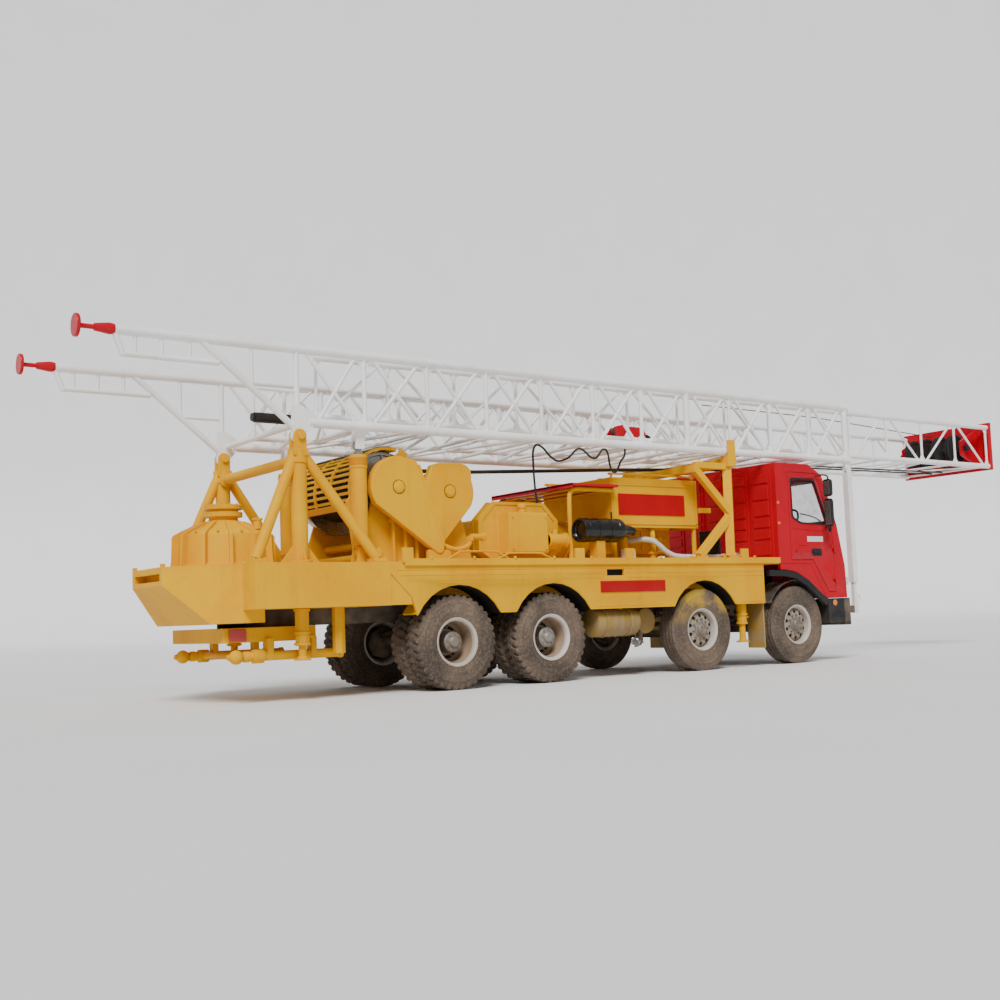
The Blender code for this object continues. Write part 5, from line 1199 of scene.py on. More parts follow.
@dataclass
class Stern:
    """The ribbed gear housing, the beam below it, the platform and its skirts."""

    shop: Workshop
    x: float = -2.38

    def housing(self) -> None:
        """The turned housing with welded ribs, two bolted flanges and a hose fitting."""
        body = [(POLE, DECK), (0.575, DECK), (0.575, 1.53), (0.515, 1.545), (0.505, 1.84), (0.50, 1.87),
                (0.46, 1.91), (0.40, 1.93), (0.28, 1.985), (0.235, 2.02), (0.17, 2.045), (0.16, 2.07),
                (0.165, 2.082), (0.215, 2.085), (0.215, 2.138), (0.168, 2.141), (0.168, 2.167),
                (0.215, 2.170), (0.215, 2.216), (0.209, 2.222), (0.12, 2.222), (0.11, 2.215),
                (POLE, 2.215)]
        parts = [turned(body, (self.x, 0, 0), (0, 0, 1), 72)]
        rib = slab([(0.45, 1.52), (0.595, 1.52), (0.585, 1.60), (0.575, 1.86), (0.555, 1.885),
                    (0.50, 1.915), (0.30, 2.01), (0.24, 2.03), (0.24, 1.97), (0.40, 1.88), (0.45, 1.80)],
                   -0.019, 0.019)
        spots = []
        for angle in np.radians(np.arange(15, 375, 30)):
            turn = Matrix.Translation((self.x, 0, 0)) @ Matrix.Rotation(angle, 4, "Z")
            parts.append(moved(rib, turn))
            for radius, height in ((0.192, 2.222), (0.5, 1.90)):
                a = angle + 0.26
                spots.append((self.x + radius * math.cos(a), radius * math.sin(a), height))
        parts.append(bolts(spots, (0, 0, 1), 0.012, 0.012))
        self.shop.fixed("gear_housing_casting", Finishes.YELLOW, parts, replaces=["gear_housing"],
                        crease=30)
        fitting = [rod(0.045, (self.x + 0.28, -0.30, 1.93), (self.x + 0.28, -0.30, 2.04), 20),
                   rod(0.060, (self.x + 0.28, -0.30, 2.03), (self.x + 0.28, -0.30, 2.055), 6)]
        self.shop.fixed("gear_housing_filler", Finishes.YELLOW, fitting, crease=32)

    def underframe(self) -> None:
        """The beam with its side lamps, and its level rams with balls and clamps."""
        y0 = 0.765
        plates = [block((-2.72, -1.62), (-0.74, 0.74), (0.66, 0.8197))]
        pipes = [rod(0.04, (-2.34, -y0, 0.51), (-2.34, y0, 0.51), 24)]
        for side in Side:
            y = side.value * y0
            ball = [(POLE, -0.078)] + [(0.078 * math.cos(a), 0.078 * math.sin(a))
                                       for a in np.linspace(-1.4, 1.4, 15)]
            pipes += [turned(ball + [(POLE, 0.078)], (-2.59, y, 0.506), (0, 0, 1), 28),
                      rod(0.052, (-2.52, y, 0.506), (-1.32, y, 0.506), 28),
                      rod(0.076, (-2.40, y, 0.506), (-2.28, y, 0.506), 28),
                      rod(0.060, (-1.36, y, 0.506), (-1.315, y, 0.506), 28),
                      rod(0.060, (-2.50, y, 0.506), (-2.44, y, 0.506), 28),
                      rod(0.03, (-2.69, y, 0.506), (-2.65, y, 0.506), 16)]
            for x in (-2.24, -1.72):
                plates.append(block((x, x + 0.07), (side.value * 0.70, side.value * 0.82), (0.46, 0.70)))
            self.shop.fixed(f"side_lamp_{side.word}", Finishes.LENS,
                            [block((-2.66, -2.46), (side.value * 0.738, side.value * 0.760),
                                   (0.675, 0.805))], bevel=0.008)
        self.shop.fixed("underframe_beam", Finishes.YELLOW, plates, bevel=0.006,
                        replaces=["rear_underframe"])
        self.shop.fixed("underframe_rams", Finishes.YELLOW, pipes, crease=32)

    def build(self) -> None:
        """Make the housing and beam, and dress the platform and skirts with plates, straps and near-black
        sheets of painted shade in the arches and behind the skirt's slot.
        """
        self.housing()
        self.underframe()
        self.shop.dress("platform", Finishes.YELLOW, bevel=0.006, crease=9)
        for name, side in (("skirt_right", -1), ("skirt_left", 1)):
            self.shop.dress(name, Finishes.YELLOW, bevel=0.004)
            y = side * 1.2505
            lines = [((a, y, z), (b, y, z), 0.0045) for z, spans in
                     ((1.285, ((-0.72, 2.20), (2.62, 5.18))), (1.345, ((-0.80, 2.20), (2.62, 5.18))),
                      (1.405, ((-0.85, 5.18),))) for a, b in spans]
            lines += [((a, y, 0.92), (b, y, 0.92), 0.0045) for a, b in ((2.06, 3.30), (4.74, 5.18))]
            self.shop.fixed(name + "_creases", Finishes.YELLOW, [bars(lines, 8)], crease=60)
        shade_sheets, fills = [], []
        for side in (-1, 1):
            fills.append(slab([(-0.932, 1.44), (-0.932, 1.012), (-0.64, 1.012), (-0.655, 1.10),
                               (-0.90, 1.37)], side * 1.195, side * 1.235))
            # Near-black sheets of painted shade inside the wheel arches.
            for x in (0.0, 1.40, 4.02):
                shade_sheets.append(slab(arc((x, 0.56), 0.6655, 151, 29, 40)
                                   + arc((x, 0.56), 0.659, 29, 151, 40), side * 0.90, side * 1.232))
            # A near-black box of painted shade behind the skirt's slot.
            shade_sheets.append(block((2.22, 2.60), (side * 1.12, side * 1.20), (1.28, 1.42)))
        self.shop.fixed("hull_side_plates", Finishes.YELLOW, fills, bevel=0.004)
        self.shop.fixed("arch_liners", Finishes.DEEP, shade_sheets, crease=32)
        plate = slab([(2.15, 1.095), (3.27, 1.095), (3.27, 1.24), (2.15, 1.24)], -1.262, -1.2505)
        self.shop.fixed("side_plate", Finishes.SIGN, [plate], bevel=0.003)
        straps = []
        for a, b, top in ((0.02, 0.62, 1.62), (0.72, 1.30, 1.60)):
            route = [(a - 0.18, -1.20, 1.51), (a, -1.20, top - 0.02), (a + 0.06, -1.20, top),
                     (b - 0.06, -1.20, top), (b, -1.20, top - 0.02), (b + 0.18, -1.20, 1.51)]
            straps.append(pipe(route, 60, 0.013, 12))
        self.shop.fixed("deck_straps", Finishes.YELLOW, straps, crease=32)
        toes = [((x, side * 1.276, 1.53), (x, side * 1.276, 1.56), 0.018)
                for x in np.arange(-0.4, 5.4, 0.6) for side in (-1, 1)]
        self.shop.fixed("deck_cleats", Finishes.YELLOW, [bars(toes, 10)], crease=32)


@dataclass
class Drawworks:
    """Side plates, drum guard, two drums with rope, and the two-lobed chain case."""

    shop: Workshop
    main: tuple[float, float] = (-0.62, 2.39)
    sand: tuple[float, float] = (0.15, 2.37)

    def wound(self, centre: tuple[float, float], radius: float, half: float, pitch: float,
              layers: int) -> Mesh:
        """Rope on a drum: a profile of half rounds, one for each turn, and steps for the outer layer."""
        count = int(2 * half / pitch)
        spots = np.linspace(-half, half, count * 8 + 1)
        wave = np.abs(np.sin(np.pi * (spots + half) / pitch))
        height = radius + layers * pitch * 0.5 + pitch * 0.5 * wave
        line = [(POLE, -half)] + list(zip(height, spots)) + [(POLE, half)]
        return turned(line, (centre[0], 0, centre[1]), (0, 1, 0), 48)

    def sides(self) -> None:
        """Both side plates with their rims, tie pipes, bearings and the sand drum's flanges."""
        (mx, mz), (sx, sz) = self.main, self.sand
        plates, pipes, spots = [], [], []
        for side in Side:
            inner = side.value * 0.66
            outline = ([(mx - 0.45, DECK), (sx + 0.42, DECK), (sx + 0.30, 1.95)]
                       + arc((sx, sz), 0.14, 0, 120, 14) + arc((mx, mz), 0.16, 60, 180, 16))
            plates.append(slab(outline, inner, inner + side.value * 0.05))
            strut = [(mx - 0.55, mz - 0.16), (mx - 0.45, DECK + 0.01), (mx - 0.30, DECK + 0.01),
                     (mx - 0.46, mz - 0.05)]
            plates.append(slab(strut, side.value * 0.665, side.value * 0.705))
            brow = [(mx - 0.02, mz + 0.05), (mx + 0.12, mz), (mx + 0.30, mz + 0.44),
                    (mx + 0.20, mz + 0.50)]
            plates.append(slab(brow, side.value * 0.665, side.value * 0.705))
            plates.append(block((mx - 0.44, sx + 0.40), (side.value * 0.62, side.value * 0.76),
                                (DECK, 1.53)))
            for x, z, r in ((mx, mz, 0.115), (sx, sz, 0.105)):
                ring = [(0.0625, 0), (r, 0), (r, 0.016), (r - 0.02, 0.026), (0.0625, 0.026)]
                pipes.append(turned(ring, (x, side.value * 0.71, z), (0, side.value, 0), 36))
                spots += [((x + 0.085 * math.cos(a), side.value * 0.736, z + 0.085 * math.sin(a)),
                           side.value) for a in np.radians(range(0, 360, 60))]
        for x, z in ((mx - 0.30, 1.58), (sx + 0.25, 1.58), (mx - 0.10, 1.75)):
            pipes.append(rod(0.05, (x, -0.70, z), (x, 0.70, z), 28))
        pipes.append(rod(0.06, (sx, -0.86, sz), (sx, 0.80, sz), 32))
        for y in (-0.50, 0.46):
            pipes.append(rod(0.27, (sx, y, sz), (sx, y + 0.04, sz), 56, 0.008))
        heads = joined([bolts([spot], (0, push, 0), 0.011, 0.010) for spot, push in spots])
        self.shop.fixed("drawworks_plates", Finishes.YELLOW, plates, bevel=0.005,
                        replaces=["drawworks_frame"])
        self.shop.fixed("drawworks_pipes", Finishes.YELLOW, [*pipes, heads], crease=32)
        self.shop.fixed("sand_line", Finishes.ROPE, [self.wound(self.sand, 0.17, 0.455, 0.019, 2)],
                        crease=50)

    def guard(self) -> None:
        """The guard over the main drum: four hoops, vanes, a dark cover on top and a near-black sheet of
        painted shade under the guard.
        """
        mx, mz = self.main
        hoops = []
        for y in (-0.70, -0.22, 0.18, 0.66):
            ring = arc((mx, mz), 0.505, 74, 208, 40) + arc((mx, mz), 0.470, 208, 74, 40)
            hoops.append(slab(ring, y, y + 0.04))
        vanes = []
        for start in np.arange(112, 206, 9):
            ring = arc((mx, mz), 0.498, start, start + 4, 4) + arc((mx, mz), 0.480, start + 4, start, 4)
            vanes.append(slab(ring, -0.69, 0.69))
        for start in (74, 199):
            ring = arc((mx, mz), 0.508, start, start + 9, 5) + arc((mx, mz), 0.475, start + 9, start, 5)
            vanes.append(slab(ring, -0.71, 0.71))
        self.shop.fixed("drum_guard", Finishes.YELLOW, hoops + vanes, bevel=0.002)
        cover = slab(arc((mx, mz), 0.512, 84, 118, 12) + arc((mx, mz), 0.506, 118, 84, 12), -0.70, 0.70)
        # A near-black sheet of painted shade under the guard, behind the vanes.
        guard_shade = slab(arc((mx, mz), 0.476, 118, 206, 24) + arc((mx, mz), 0.472, 206, 118, 24), -0.55, 0.64)
        self.shop.fixed("drum_guard_cover", Finishes.BLACK, [cover], crease=32)
        self.shop.fixed("drum_guard_liner", Finishes.DEEP, [guard_shade], crease=32)

    def drum(self) -> None:
        """The turning main drum: flanges, brake rim, shaft and rope."""
        mx, mz = self.main
        flange = [(0.23, 0), (0.455, 0), (0.46, 0.006), (0.46, 0.046), (0.455, 0.05), (0.42, 0.05),
                  (0.41, 0.032), (0.27, 0.032), (0.26, 0.05), (0.23, 0.05)]
        parts = [turned(flange, (mx, -0.55, mz), (0, -1, 0), 72),
                 turned(flange, (mx, 0.55, mz), (0, 1, 0), 72),
                 rod(0.058, (mx, -0.865, mz), (mx, 0.97, mz), 32),
                 turned([(0.055, 0.76), (0.10, 0.76), (0.12, 0.78), (0.30, 0.79), (0.33, 0.76),
                         (0.36, 0.76), (0.36, 0.92), (0.33, 0.92), (0.33, 0.83), (0.12, 0.82),
                         (0.10, 0.86), (0.055, 0.86)], (mx, 0, mz), (0, 1, 0), 64)]
        ribs = []
        for angle in np.radians(np.arange(0, 360, 45)):
            turn = Matrix.Translation((mx, 0, mz)) @ Matrix.Rotation(angle, 4, "Y")
            for y in (-0.6, 0.585):
                ribs.append(moved(block((0.26, 0.42), (y, y + 0.014), (-0.008, 0.008)), turn))
        self.shop.piece("drum_flanges", "main_drum", Finishes.STEEL, parts + ribs, replaces=["main_drum"],
                        crease=32)
        self.shop.piece("drum_line", "main_drum", Finishes.ROPE,
                        [self.wound(self.main, 0.24, 0.548, 0.0245, 3)], crease=50)

    def case(self) -> None:
        """Both lobes with their ridge, bolted caps, foot, drain pipe and legs, and the small winch."""
        (mx, mz), (sx, sz) = self.main, self.sand
        tip = (-0.08, 1.68)
        left = [(-0.335, 2.645), (-0.36, 2.70), (-0.42, 2.725)] + arc((mx, mz), 0.36, 78, 218,
                                                                      44) + arc(tip, 0.07, 225, 372, 14)
        right = (arc((sx, sz), 0.35, -30, 22, 18) + arc((0.33, 2.56), 0.155, 25, 88, 10)
                 + [(0.02, 2.715), (-0.10, 2.68)] + arc((sx, sz), 0.35, 150, 165, 6)
                 + arc(tip, 0.05, 180, 340, 14))
        lobes = [slab(left, -0.97, -0.87), slab(right, -0.88, -0.78),
                 block((-0.22, 0.10), (-0.95, -0.87), (DECK, 1.66))]
        self.shop.fixed("chain_case_lobes", Finishes.YELLOW, lobes, bevel=0.016, replaces=["chain_case"],
                        segments=4)
        rim = arc((mx, mz), 0.366, 80, 216, 50) + arc((mx, mz), 0.356, 216, 80, 50)
        ridge = [slab(rim, -0.962, -0.876)]
        caps = []
        for x, z, face in ((mx, mz, -0.97), (sx, sz, -0.88)):
            caps.append(turned([(POLE, 0), (0.076, 0), (0.076, 0.006), (0.060, 0.010), (0.056, 0.020),
                                (0.02, 0.026), (POLE, 0.026)], (x, face, z), (0, -1, 0), 40))
            caps.append(bolts([(x + 0.066 * math.cos(a), face - 0.008, z + 0.066 * math.sin(a))
                               for a in np.radians(range(30, 390, 90))], (0, -1, 0), 0.007, 0.006))
        fold = slab([(-0.352, 2.66), (-0.325, 2.665), (-0.002, 1.71), (-0.028, 1.70)], -0.978, -0.88)
        self.shop.fixed("chain_case_rims", Finishes.YELLOW, [*ridge, *caps, fold], crease=32)
        # Near-black rings of painted shade in the gap round each cap.
        gap_shade_rings = [turned([(0.077, 0.001), (0.084, 0.001), (0.084, 0.003), (0.077, 0.003)], (x, face, z),
                       (0, -1, 0), 40) for x, z, face in ((mx, mz, -0.97), (sx, sz, -0.88))]
        self.shop.fixed("cap_gaps", Finishes.DEEP, gap_shade_rings, crease=32)
        drain = [pipe([(0.02, -0.93, 1.70), (0.16, -0.96, 1.66), (0.30, -1.0, 1.70), (0.34, -1.0, 1.78)],
                      30, 0.030, 20), rod(0.045, (0.34, -1.0, 1.76), (0.34, -1.0, 1.82), 6),
                 rod(0.038, (0.34, -1.0, 1.81), (0.52, -1.0, 1.81), 20),
                 rod(0.052, (0.50, -1.0, 1.81), (0.55, -1.0, 1.81), 6)]
        self.shop.fixed("chain_case_pipe", Finishes.YELLOW, drain, crease=32)
        ribs = [block((x, x + 0.03), (-0.80, -0.76), (DECK, 2.02)) for x in (-0.62, -0.46, -0.30)]
        ribs += [block((-0.66, -0.22), (-0.79, -0.76), (1.99, 2.03))]
        self.shop.fixed("case_legs", Finishes.YELLOW, ribs, bevel=0.003)
        winch = [rod(0.055, (-0.84, -0.80, 1.60), (-0.84, -0.66, 1.60), 32),
                 rod(0.075, (-0.84, -0.81, 1.60), (-0.84, -0.795, 1.60), 32),
                 rod(0.075, (-0.84, -0.67, 1.60), (-0.84, -0.655, 1.60), 32),
                 rod(0.02, (-0.84, -0.73, DECK), (-0.84, -0.73, 1.56), 16)]
        self.shop.fixed("tugger_drum", Finishes.PRIMER, winch, crease=32)

    def build(self) -> None:
        """Make the whole drawworks."""
        self.sides()
        self.guard()
        self.drum()
        self.case()


@dataclass
class Power:
    """The gearbox, deck engine, air cleaner, hood, canopy and hoses."""

    shop: Workshop

    def gearbox(self) -> None:
        """The gearbox body, the eight-sided guard's rim, lid bolts, breather and coupling."""
        self.shop.dress("gearbox", Finishes.YELLOW, bevel=0.014)
        octagon = np.array([(0.74, 1.68), (1.00, 1.53), (1.72, 1.53), (1.97, 1.68), (1.97, 2.06),
                            (1.75, 2.28), (0.96, 2.28), (0.74, 2.06)])
        middle = octagon.mean(0)
        rim = []
        for y in (-0.632, -0.494):
            big = middle + (octagon - middle) * 1.03
            small = middle + (octagon - middle) * 0.93
            for k in range(8):
                n = (k + 1) % 8
                rim.append(slab([tuple(big[k]), tuple(big[n]), tuple(small[n]), tuple(small[k])], y, y
                                + 0.014))
        self.shop.fixed("gearbox_rim", Finishes.YELLOW, rim, bevel=0.002)
        spots = [(x, -0.87, z) for x in (1.08, 1.60) for z in (1.68, 2.08)]
        step = turned([(POLE, 0), (0.062, 0), (0.062, 0.03), (0.040, 0.036), (0.040, 0.06),
                       (0.056, 0.066), (0.060, 0.10), (0.045, 0.125), (POLE, 0.13)], (1.34, -0.72, 2.138),
                      (0, 0, 1), 32)
        bend = block((1.045, 1.635), (-0.868, -0.858), (1.64, 2.12))
        lid = [block((1.02, 1.68), (-0.44, 0.40), (2.078, 2.10))]
        self.shop.fixed("gearbox_lid", Finishes.YELLOW, [bend, *lid], bevel=0.005)
        pump = [rod(0.085, (1.66, -0.80, 1.79), (1.98, -0.80, 1.79), 32),
                rod(0.10, (1.66, -0.80, 1.79), (1.69, -0.80, 1.79), 32),
                rod(0.10, (1.94, -0.80, 1.79), (1.97, -0.80, 1.79), 32),
                rod(0.03, (1.80, -0.80, 1.86), (1.80, -0.80, 1.93), 16)]
        self.shop.fixed("gearbox_fittings", Finishes.YELLOW,
                        [bolts(spots, (0, -1, 0), 0.013, 0.012), step, *pump,
                         rod(0.14, (1.97, -0.05, 1.84), (1.99, -0.05, 1.84), 40),
                         rod(0.14, (2.04, -0.05, 1.84), (2.06, -0.05, 1.84), 40)], crease=32)

    def engine(self) -> None:
        """The yellow engine: block with ribs, heads with covers, manifold, pulleys and converter."""
        plates = [block((2.98, 4.22), (-0.33, 0.33), (1.64, 2.16)),
                  block((3.08, 4.12), (-0.24, 0.24), (DECK, 1.66)),
                  block((2.50, 2.66), (-0.32, 0.22), (DECK, 1.70)),
                  block((4.20, 4.30), (-0.30, 0.30), (1.62, 2.20))]
        spots = []
        for side in (-1, 1):
            plates.append(block((3.02, 4.18), (side * 0.06, side * 0.29), (2.15, 2.29)))
            for k in range(4):
                x = 3.05 + 0.29 * k
                plates.append(block((x, x + 0.24), (side * 0.08, side * 0.27), (2.28, 2.345)))
                plates.append(block((x + 0.08, x + 0.14), (side * 0.325, side * 0.345), (1.68, 2.12)))
                spots += [(x + 0.03, side * 0.175, 2.345), (x + 0.21, side * 0.175, 2.345)]
            plates.append(block((2.99, 4.21), (side * 0.32, side * 0.342), (1.84, 1.87)))
        self.shop.fixed("engine_block", Finishes.YELLOW, plates, bevel=0.008, replaces=["deck_engine"])
        pipes = [rod(0.24, (2.32, -0.05, 1.84), (2.82, -0.05, 1.84), 48, 0.02),
                 rod(0.27, (2.44, -0.05, 1.84), (2.48, -0.05, 1.84), 48),
                 rod(0.27, (2.66, -0.05, 1.84), (2.70, -0.05, 1.84), 48),
                 rod(0.13, (2.80, -0.05, 1.84), (3.00, -0.05, 1.84), 32),
                 rod(0.09, (2.1603, -0.05, 1.84), (2.34, -0.05, 1.84), 28), bolts(spots, (0, 0, 1)),
                 rod(0.052, (3.02, -0.42, 2.02), (4.16, -0.42, 2.02), 24),
                 rod(0.04, (3.60, -0.70, 1.52), (3.60, -0.70, 1.83), 20),
                 rod(0.062, (3.60, -0.70, 1.80), (3.60, -0.70, 1.83), 24),
                 rod(0.062, (3.60, -0.70, 1.62), (3.60, -0.70, 1.65), 24),
                 pipe([(3.60, -0.70, 1.82), (3.60, -0.69, 1.92), (3.62, -0.60, 2.0), (3.64, -0.46, 2.02)],
                      24, 0.038, 18)]
        pipes += [pipe([(x, -0.33, 2.08), (x, -0.39, 2.08), (x, -0.42, 2.04)], 10, 0.030, 16)
                  for x in (3.12, 3.42, 3.72, 4.02)]
        pipes += [rod(r, (x, y, z), (x + 0.03, y, z), 40) for x, y, z, r in
                  ((4.31, 0.0, 1.78, 0.16), (4.31, -0.18, 2.06, 0.09), (4.31, 0.19, 2.05, 0.08))]
        pipes += [rod(0.05, (3.30, -0.44, 1.70), (3.30, -0.44, 1.90), 24),
                  rod(0.05, (3.95, -0.44, 1.66), (3.95, -0.44, 1.88), 24),
                  rod(0.02, (3.30, -0.38, 1.90), (3.30, -0.44, 1.90), 12)]
        self.shop.fixed("engine_pipes", Finishes.YELLOW, pipes, crease=32)
        self.shop.fixed("engine_filters", Finishes.WHITE,
                        [rod(0.052, (x, -0.44, 1.55), (x, -0.44, 1.71), 28, 0.01) for x in (3.30, 3.44)],
                        crease=32)
        can = [(POLE, 2.085), (0.118, 2.085), (0.126, 2.075), (0.130, 2.035), (0.148, 2.035),
               (0.158, 2.045), (0.158, 2.075), (0.153, 2.082), (0.153, 2.118), (0.159, 2.124),
               (0.159, 2.14), (0.155, 2.144), (0.155, 2.62), (0.159, 2.625), (0.159, 2.64),
               (0.155, 2.645), (0.155, 2.70), (0.145, 2.725), (0.10, 2.745), (0.09, 2.76), (0.075, 2.85),
               (0.066, 2.92), (POLE, 2.92)]
        cleaner = [turned(can, (0, -1.0, 1.91), (1, 0, 0), 56),
                   swept(smooth_path([(2.90, -1.0, 1.91), (2.98, -0.97, 1.91), (3.05, -0.88, 1.90),
                                      (3.13, -0.60, 1.90), (3.20, -0.32, 1.90)], 48),
                         corrugated(0.053, 0.0035, 0.018), 24),
                   rod(0.012, (2.60, -1.0, 2.05), (2.60, -1.0, 2.16), 10)]
        self.shop.fixed("air_cleaner", Finishes.GLOSS, cleaner, crease=32)
        straps = [band((x, -1.0, 1.91), (1, 0, 0), 0.155, 0.04, 0.005, 56) for x in (2.30, 2.50)]
        self.shop.fixed("air_cleaner_straps", Finishes.GLOSS, straps, crease=32)
        self.shop.fixed("air_cleaner_stand", Finishes.YELLOW,
                        [block((2.27, 2.41), (-1.08, -0.92), (DECK, 1.77)),
                         block((2.22, 2.46), (-1.10, -0.90), (DECK, 1.52))], bevel=0.005)
        hose = smooth_path([(3.42, -0.34, 1.82), (3.47, -0.56, 1.83), (3.50, -0.78, 1.80),
                            (3.54, -0.90, 1.72), (3.62, -0.95, 1.63), (3.76, -0.96, 1.575),
                            (4.00, -0.96, 1.56), (4.40, -0.96, 1.56), (4.70, -0.96, 1.57),
                            (4.94, -0.96, 1.59)], 300)
        self.shop.fixed("pale_hose", Finishes.HOSE, [swept(hose, corrugated(0.036, 0.0045, 0.020), 20)],
                        crease=60)
        self.shop.fixed("hose_ends", Finishes.STEEL,
                        [rod(0.044, (4.92, -0.96, 1.59), (4.99, -0.96, 1.59), 24),
                         rod(0.046, (3.42, -0.31, 1.82), (3.42, -0.38, 1.82), 24)], crease=32)

    def hood(self) -> None:
        """The hood with its strips, rolled rails and bare plate, and the canopy's roof and pipes."""
        self.shop.dress("engine_hood", Finishes.YELLOW, bevel=0.014)
        roof = [block((2.02, 2.8397), (-0.90, 0.90), (2.505, 2.54)),
                block((2.02, 2.05), (-0.90, 0.90), (2.475, 2.53))]
        self.shop.fixed("canopy_roof", Finishes.RED, roof, bevel=0.004, replaces=["engine_canopy"])
        strips = []
        for side in (-1, 1):
            y = side * 0.752
            strips += [block((2.86, 4.42), (y, y + side * 0.012), (2.555, 2.575)),
                       block((2.86, 4.42), (y, y + side * 0.010), (2.02, 2.045)),
                       block((2.86, 2.89), (y, y + side * 0.010), (2.0, 2.62)),
                       block((4.39, 4.42), (y, y + side * 0.010), (2.0, 2.62))]
        self.shop.fixed("hood_strips", Finishes.YELLOW, strips, bevel=0.003)
        rails = [pipe([(2.88, side * 0.70, 2.66), (2.90, side * 0.70, 2.70), (2.96, side * 0.70, 2.715),
                       (4.32, side * 0.70, 2.715), (4.38, side * 0.70, 2.70), (4.40, side * 0.70, 2.66)],
                      60, 0.016, 14) for side in (-1, 1)]
        self.shop.fixed("hood_rails", Finishes.YELLOW, rails, crease=32)
        self.shop.fixed("hood_plate", Finishes.SIGN,
                        [block((2.95, 4.18), (-0.762, -0.7515), (2.15, 2.44))], bevel=0.003)
        pipes = []
        for side in (-1, 1):
            route = [(2.06, side * 0.80, 1.503), (2.06, side * 0.80, 1.9), (2.06, side * 0.80, 2.30),
                     (2.085, side * 0.80, 2.42), (2.16, side * 0.80, 2.465), (2.4, side * 0.80, 2.47),
                     (2.82, side * 0.80, 2.47)]
            pipes.append(pipe(route, 70, 0.030, 16))
            pipes.append(rod(0.045, (2.06, side * 0.80, DECK), (2.06, side * 0.80, 1.53), 24))
        pipes += [rod(0.018, (x, -0.80, 2.475), (x, 0.80, 2.475), 14) for x in (2.18, 2.50, 2.80)]
        self.shop.fixed("canopy_pipes", Finishes.YELLOW, pipes, crease=32)

    def build(self) -> None:
        """Make the power pack."""
        self.gearbox()
        self.engine()
        self.hood()


@dataclass
class Gantry:
    """The mast rest with its plates, bolts, box and lamp."""

    shop: Workshop

    def build(self) -> None:
        """Make the beams of square tube, then the foot plates, bolts, control box, rail and lamp."""
        bars_at, frame = [], [block((4.72, 4.88), (-1.14, 1.14), (2.84, 2.97)),
                              block((4.08, 4.18), (-1.09, 1.09), (2.74, 2.84))]
        for side in (-1, 1):
            bars_at += [((4.64, side * 1.16, 1.525), (4.80, side * 1.02, 2.90), 0.088),
                        ((4.02, side * 1.16, 1.56), (4.70, side * 1.11, 2.12), 0.072),
                        ((4.70, side * 1.11, 2.19), (4.12, side * 1.04, 2.80), 0.066)]
            frame += [block((4.73, 4.87), (side * 0.97, side * 1.11), (2.95, 3.0)),
                      block((4.73, 4.87), (side * 1.105, side * 1.138), (2.90, 3.22)),
                      block((4.14, 4.74), (side * 0.985, side * 1.075), (2.80, 2.89))]
            for x in (4.64, 4.02):
                frame.append(block((x - 0.10, x + 0.10), (side * 1.07, side * 1.239), (DECK, 1.56)))
        self.shop.fixed("gantry_frame", Finishes.YELLOW, [bars(bars_at, square=True), *frame],
                        bevel=0.006, replaces=["gantry"])
        plates, spots = [], []
        for side in (-1, 1):
            plates.append(block((4.50, 4.80), (side * 1.06, side * 1.235), (1.5603, 1.575)))
            spots += [(x, side * w, 1.575) for x in (4.53, 4.77) for w in (1.08, 1.215)]
            spots += [(x, side * w, 1.56) for x in (3.94, 4.10) for w in (1.085, 1.22)]
        self.shop.fixed("gantry_plates", Finishes.YELLOW, plates, bevel=0.003)
        self.shop.fixed("gantry_bolts", Finishes.YELLOW, [bolts(spots, (0, 0, 1), 0.012, 0.012)],
                        crease=32)
        boxes = [block((4.42, 4.64), (-0.98, -0.78), (1.60, 1.93)),
                 block((4.45, 4.61), (-0.988, -0.98), (1.63, 1.90))]
        self.shop.fixed("control_box", Finishes.GLOSS, boxes, bevel=0.008)
        rail = [block((4.44, 4.66), (-0.80, -0.75), (2.20, 2.27)),
                block((4.50, 4.56), (-0.90, -0.86), (DECK, 1.61))]
        self.shop.fixed("gantry_rail", Finishes.YELLOW, rail, bevel=0.004)
        lamp = turned([(POLE, 0), (0.035, 0.0), (0.060, 0.035), (0.060, 0.055), (0.052, 0.058),
                       (POLE, 0.056)], (4.95, -0.86, 2.70), (-1, 0, 0), 28)
        self.shop.fixed("work_lamp", Finishes.BLACK,
                        [lamp, rod(0.012, (4.93, -0.86, 2.70), (4.86, -0.86, 2.86), 10)], crease=32)


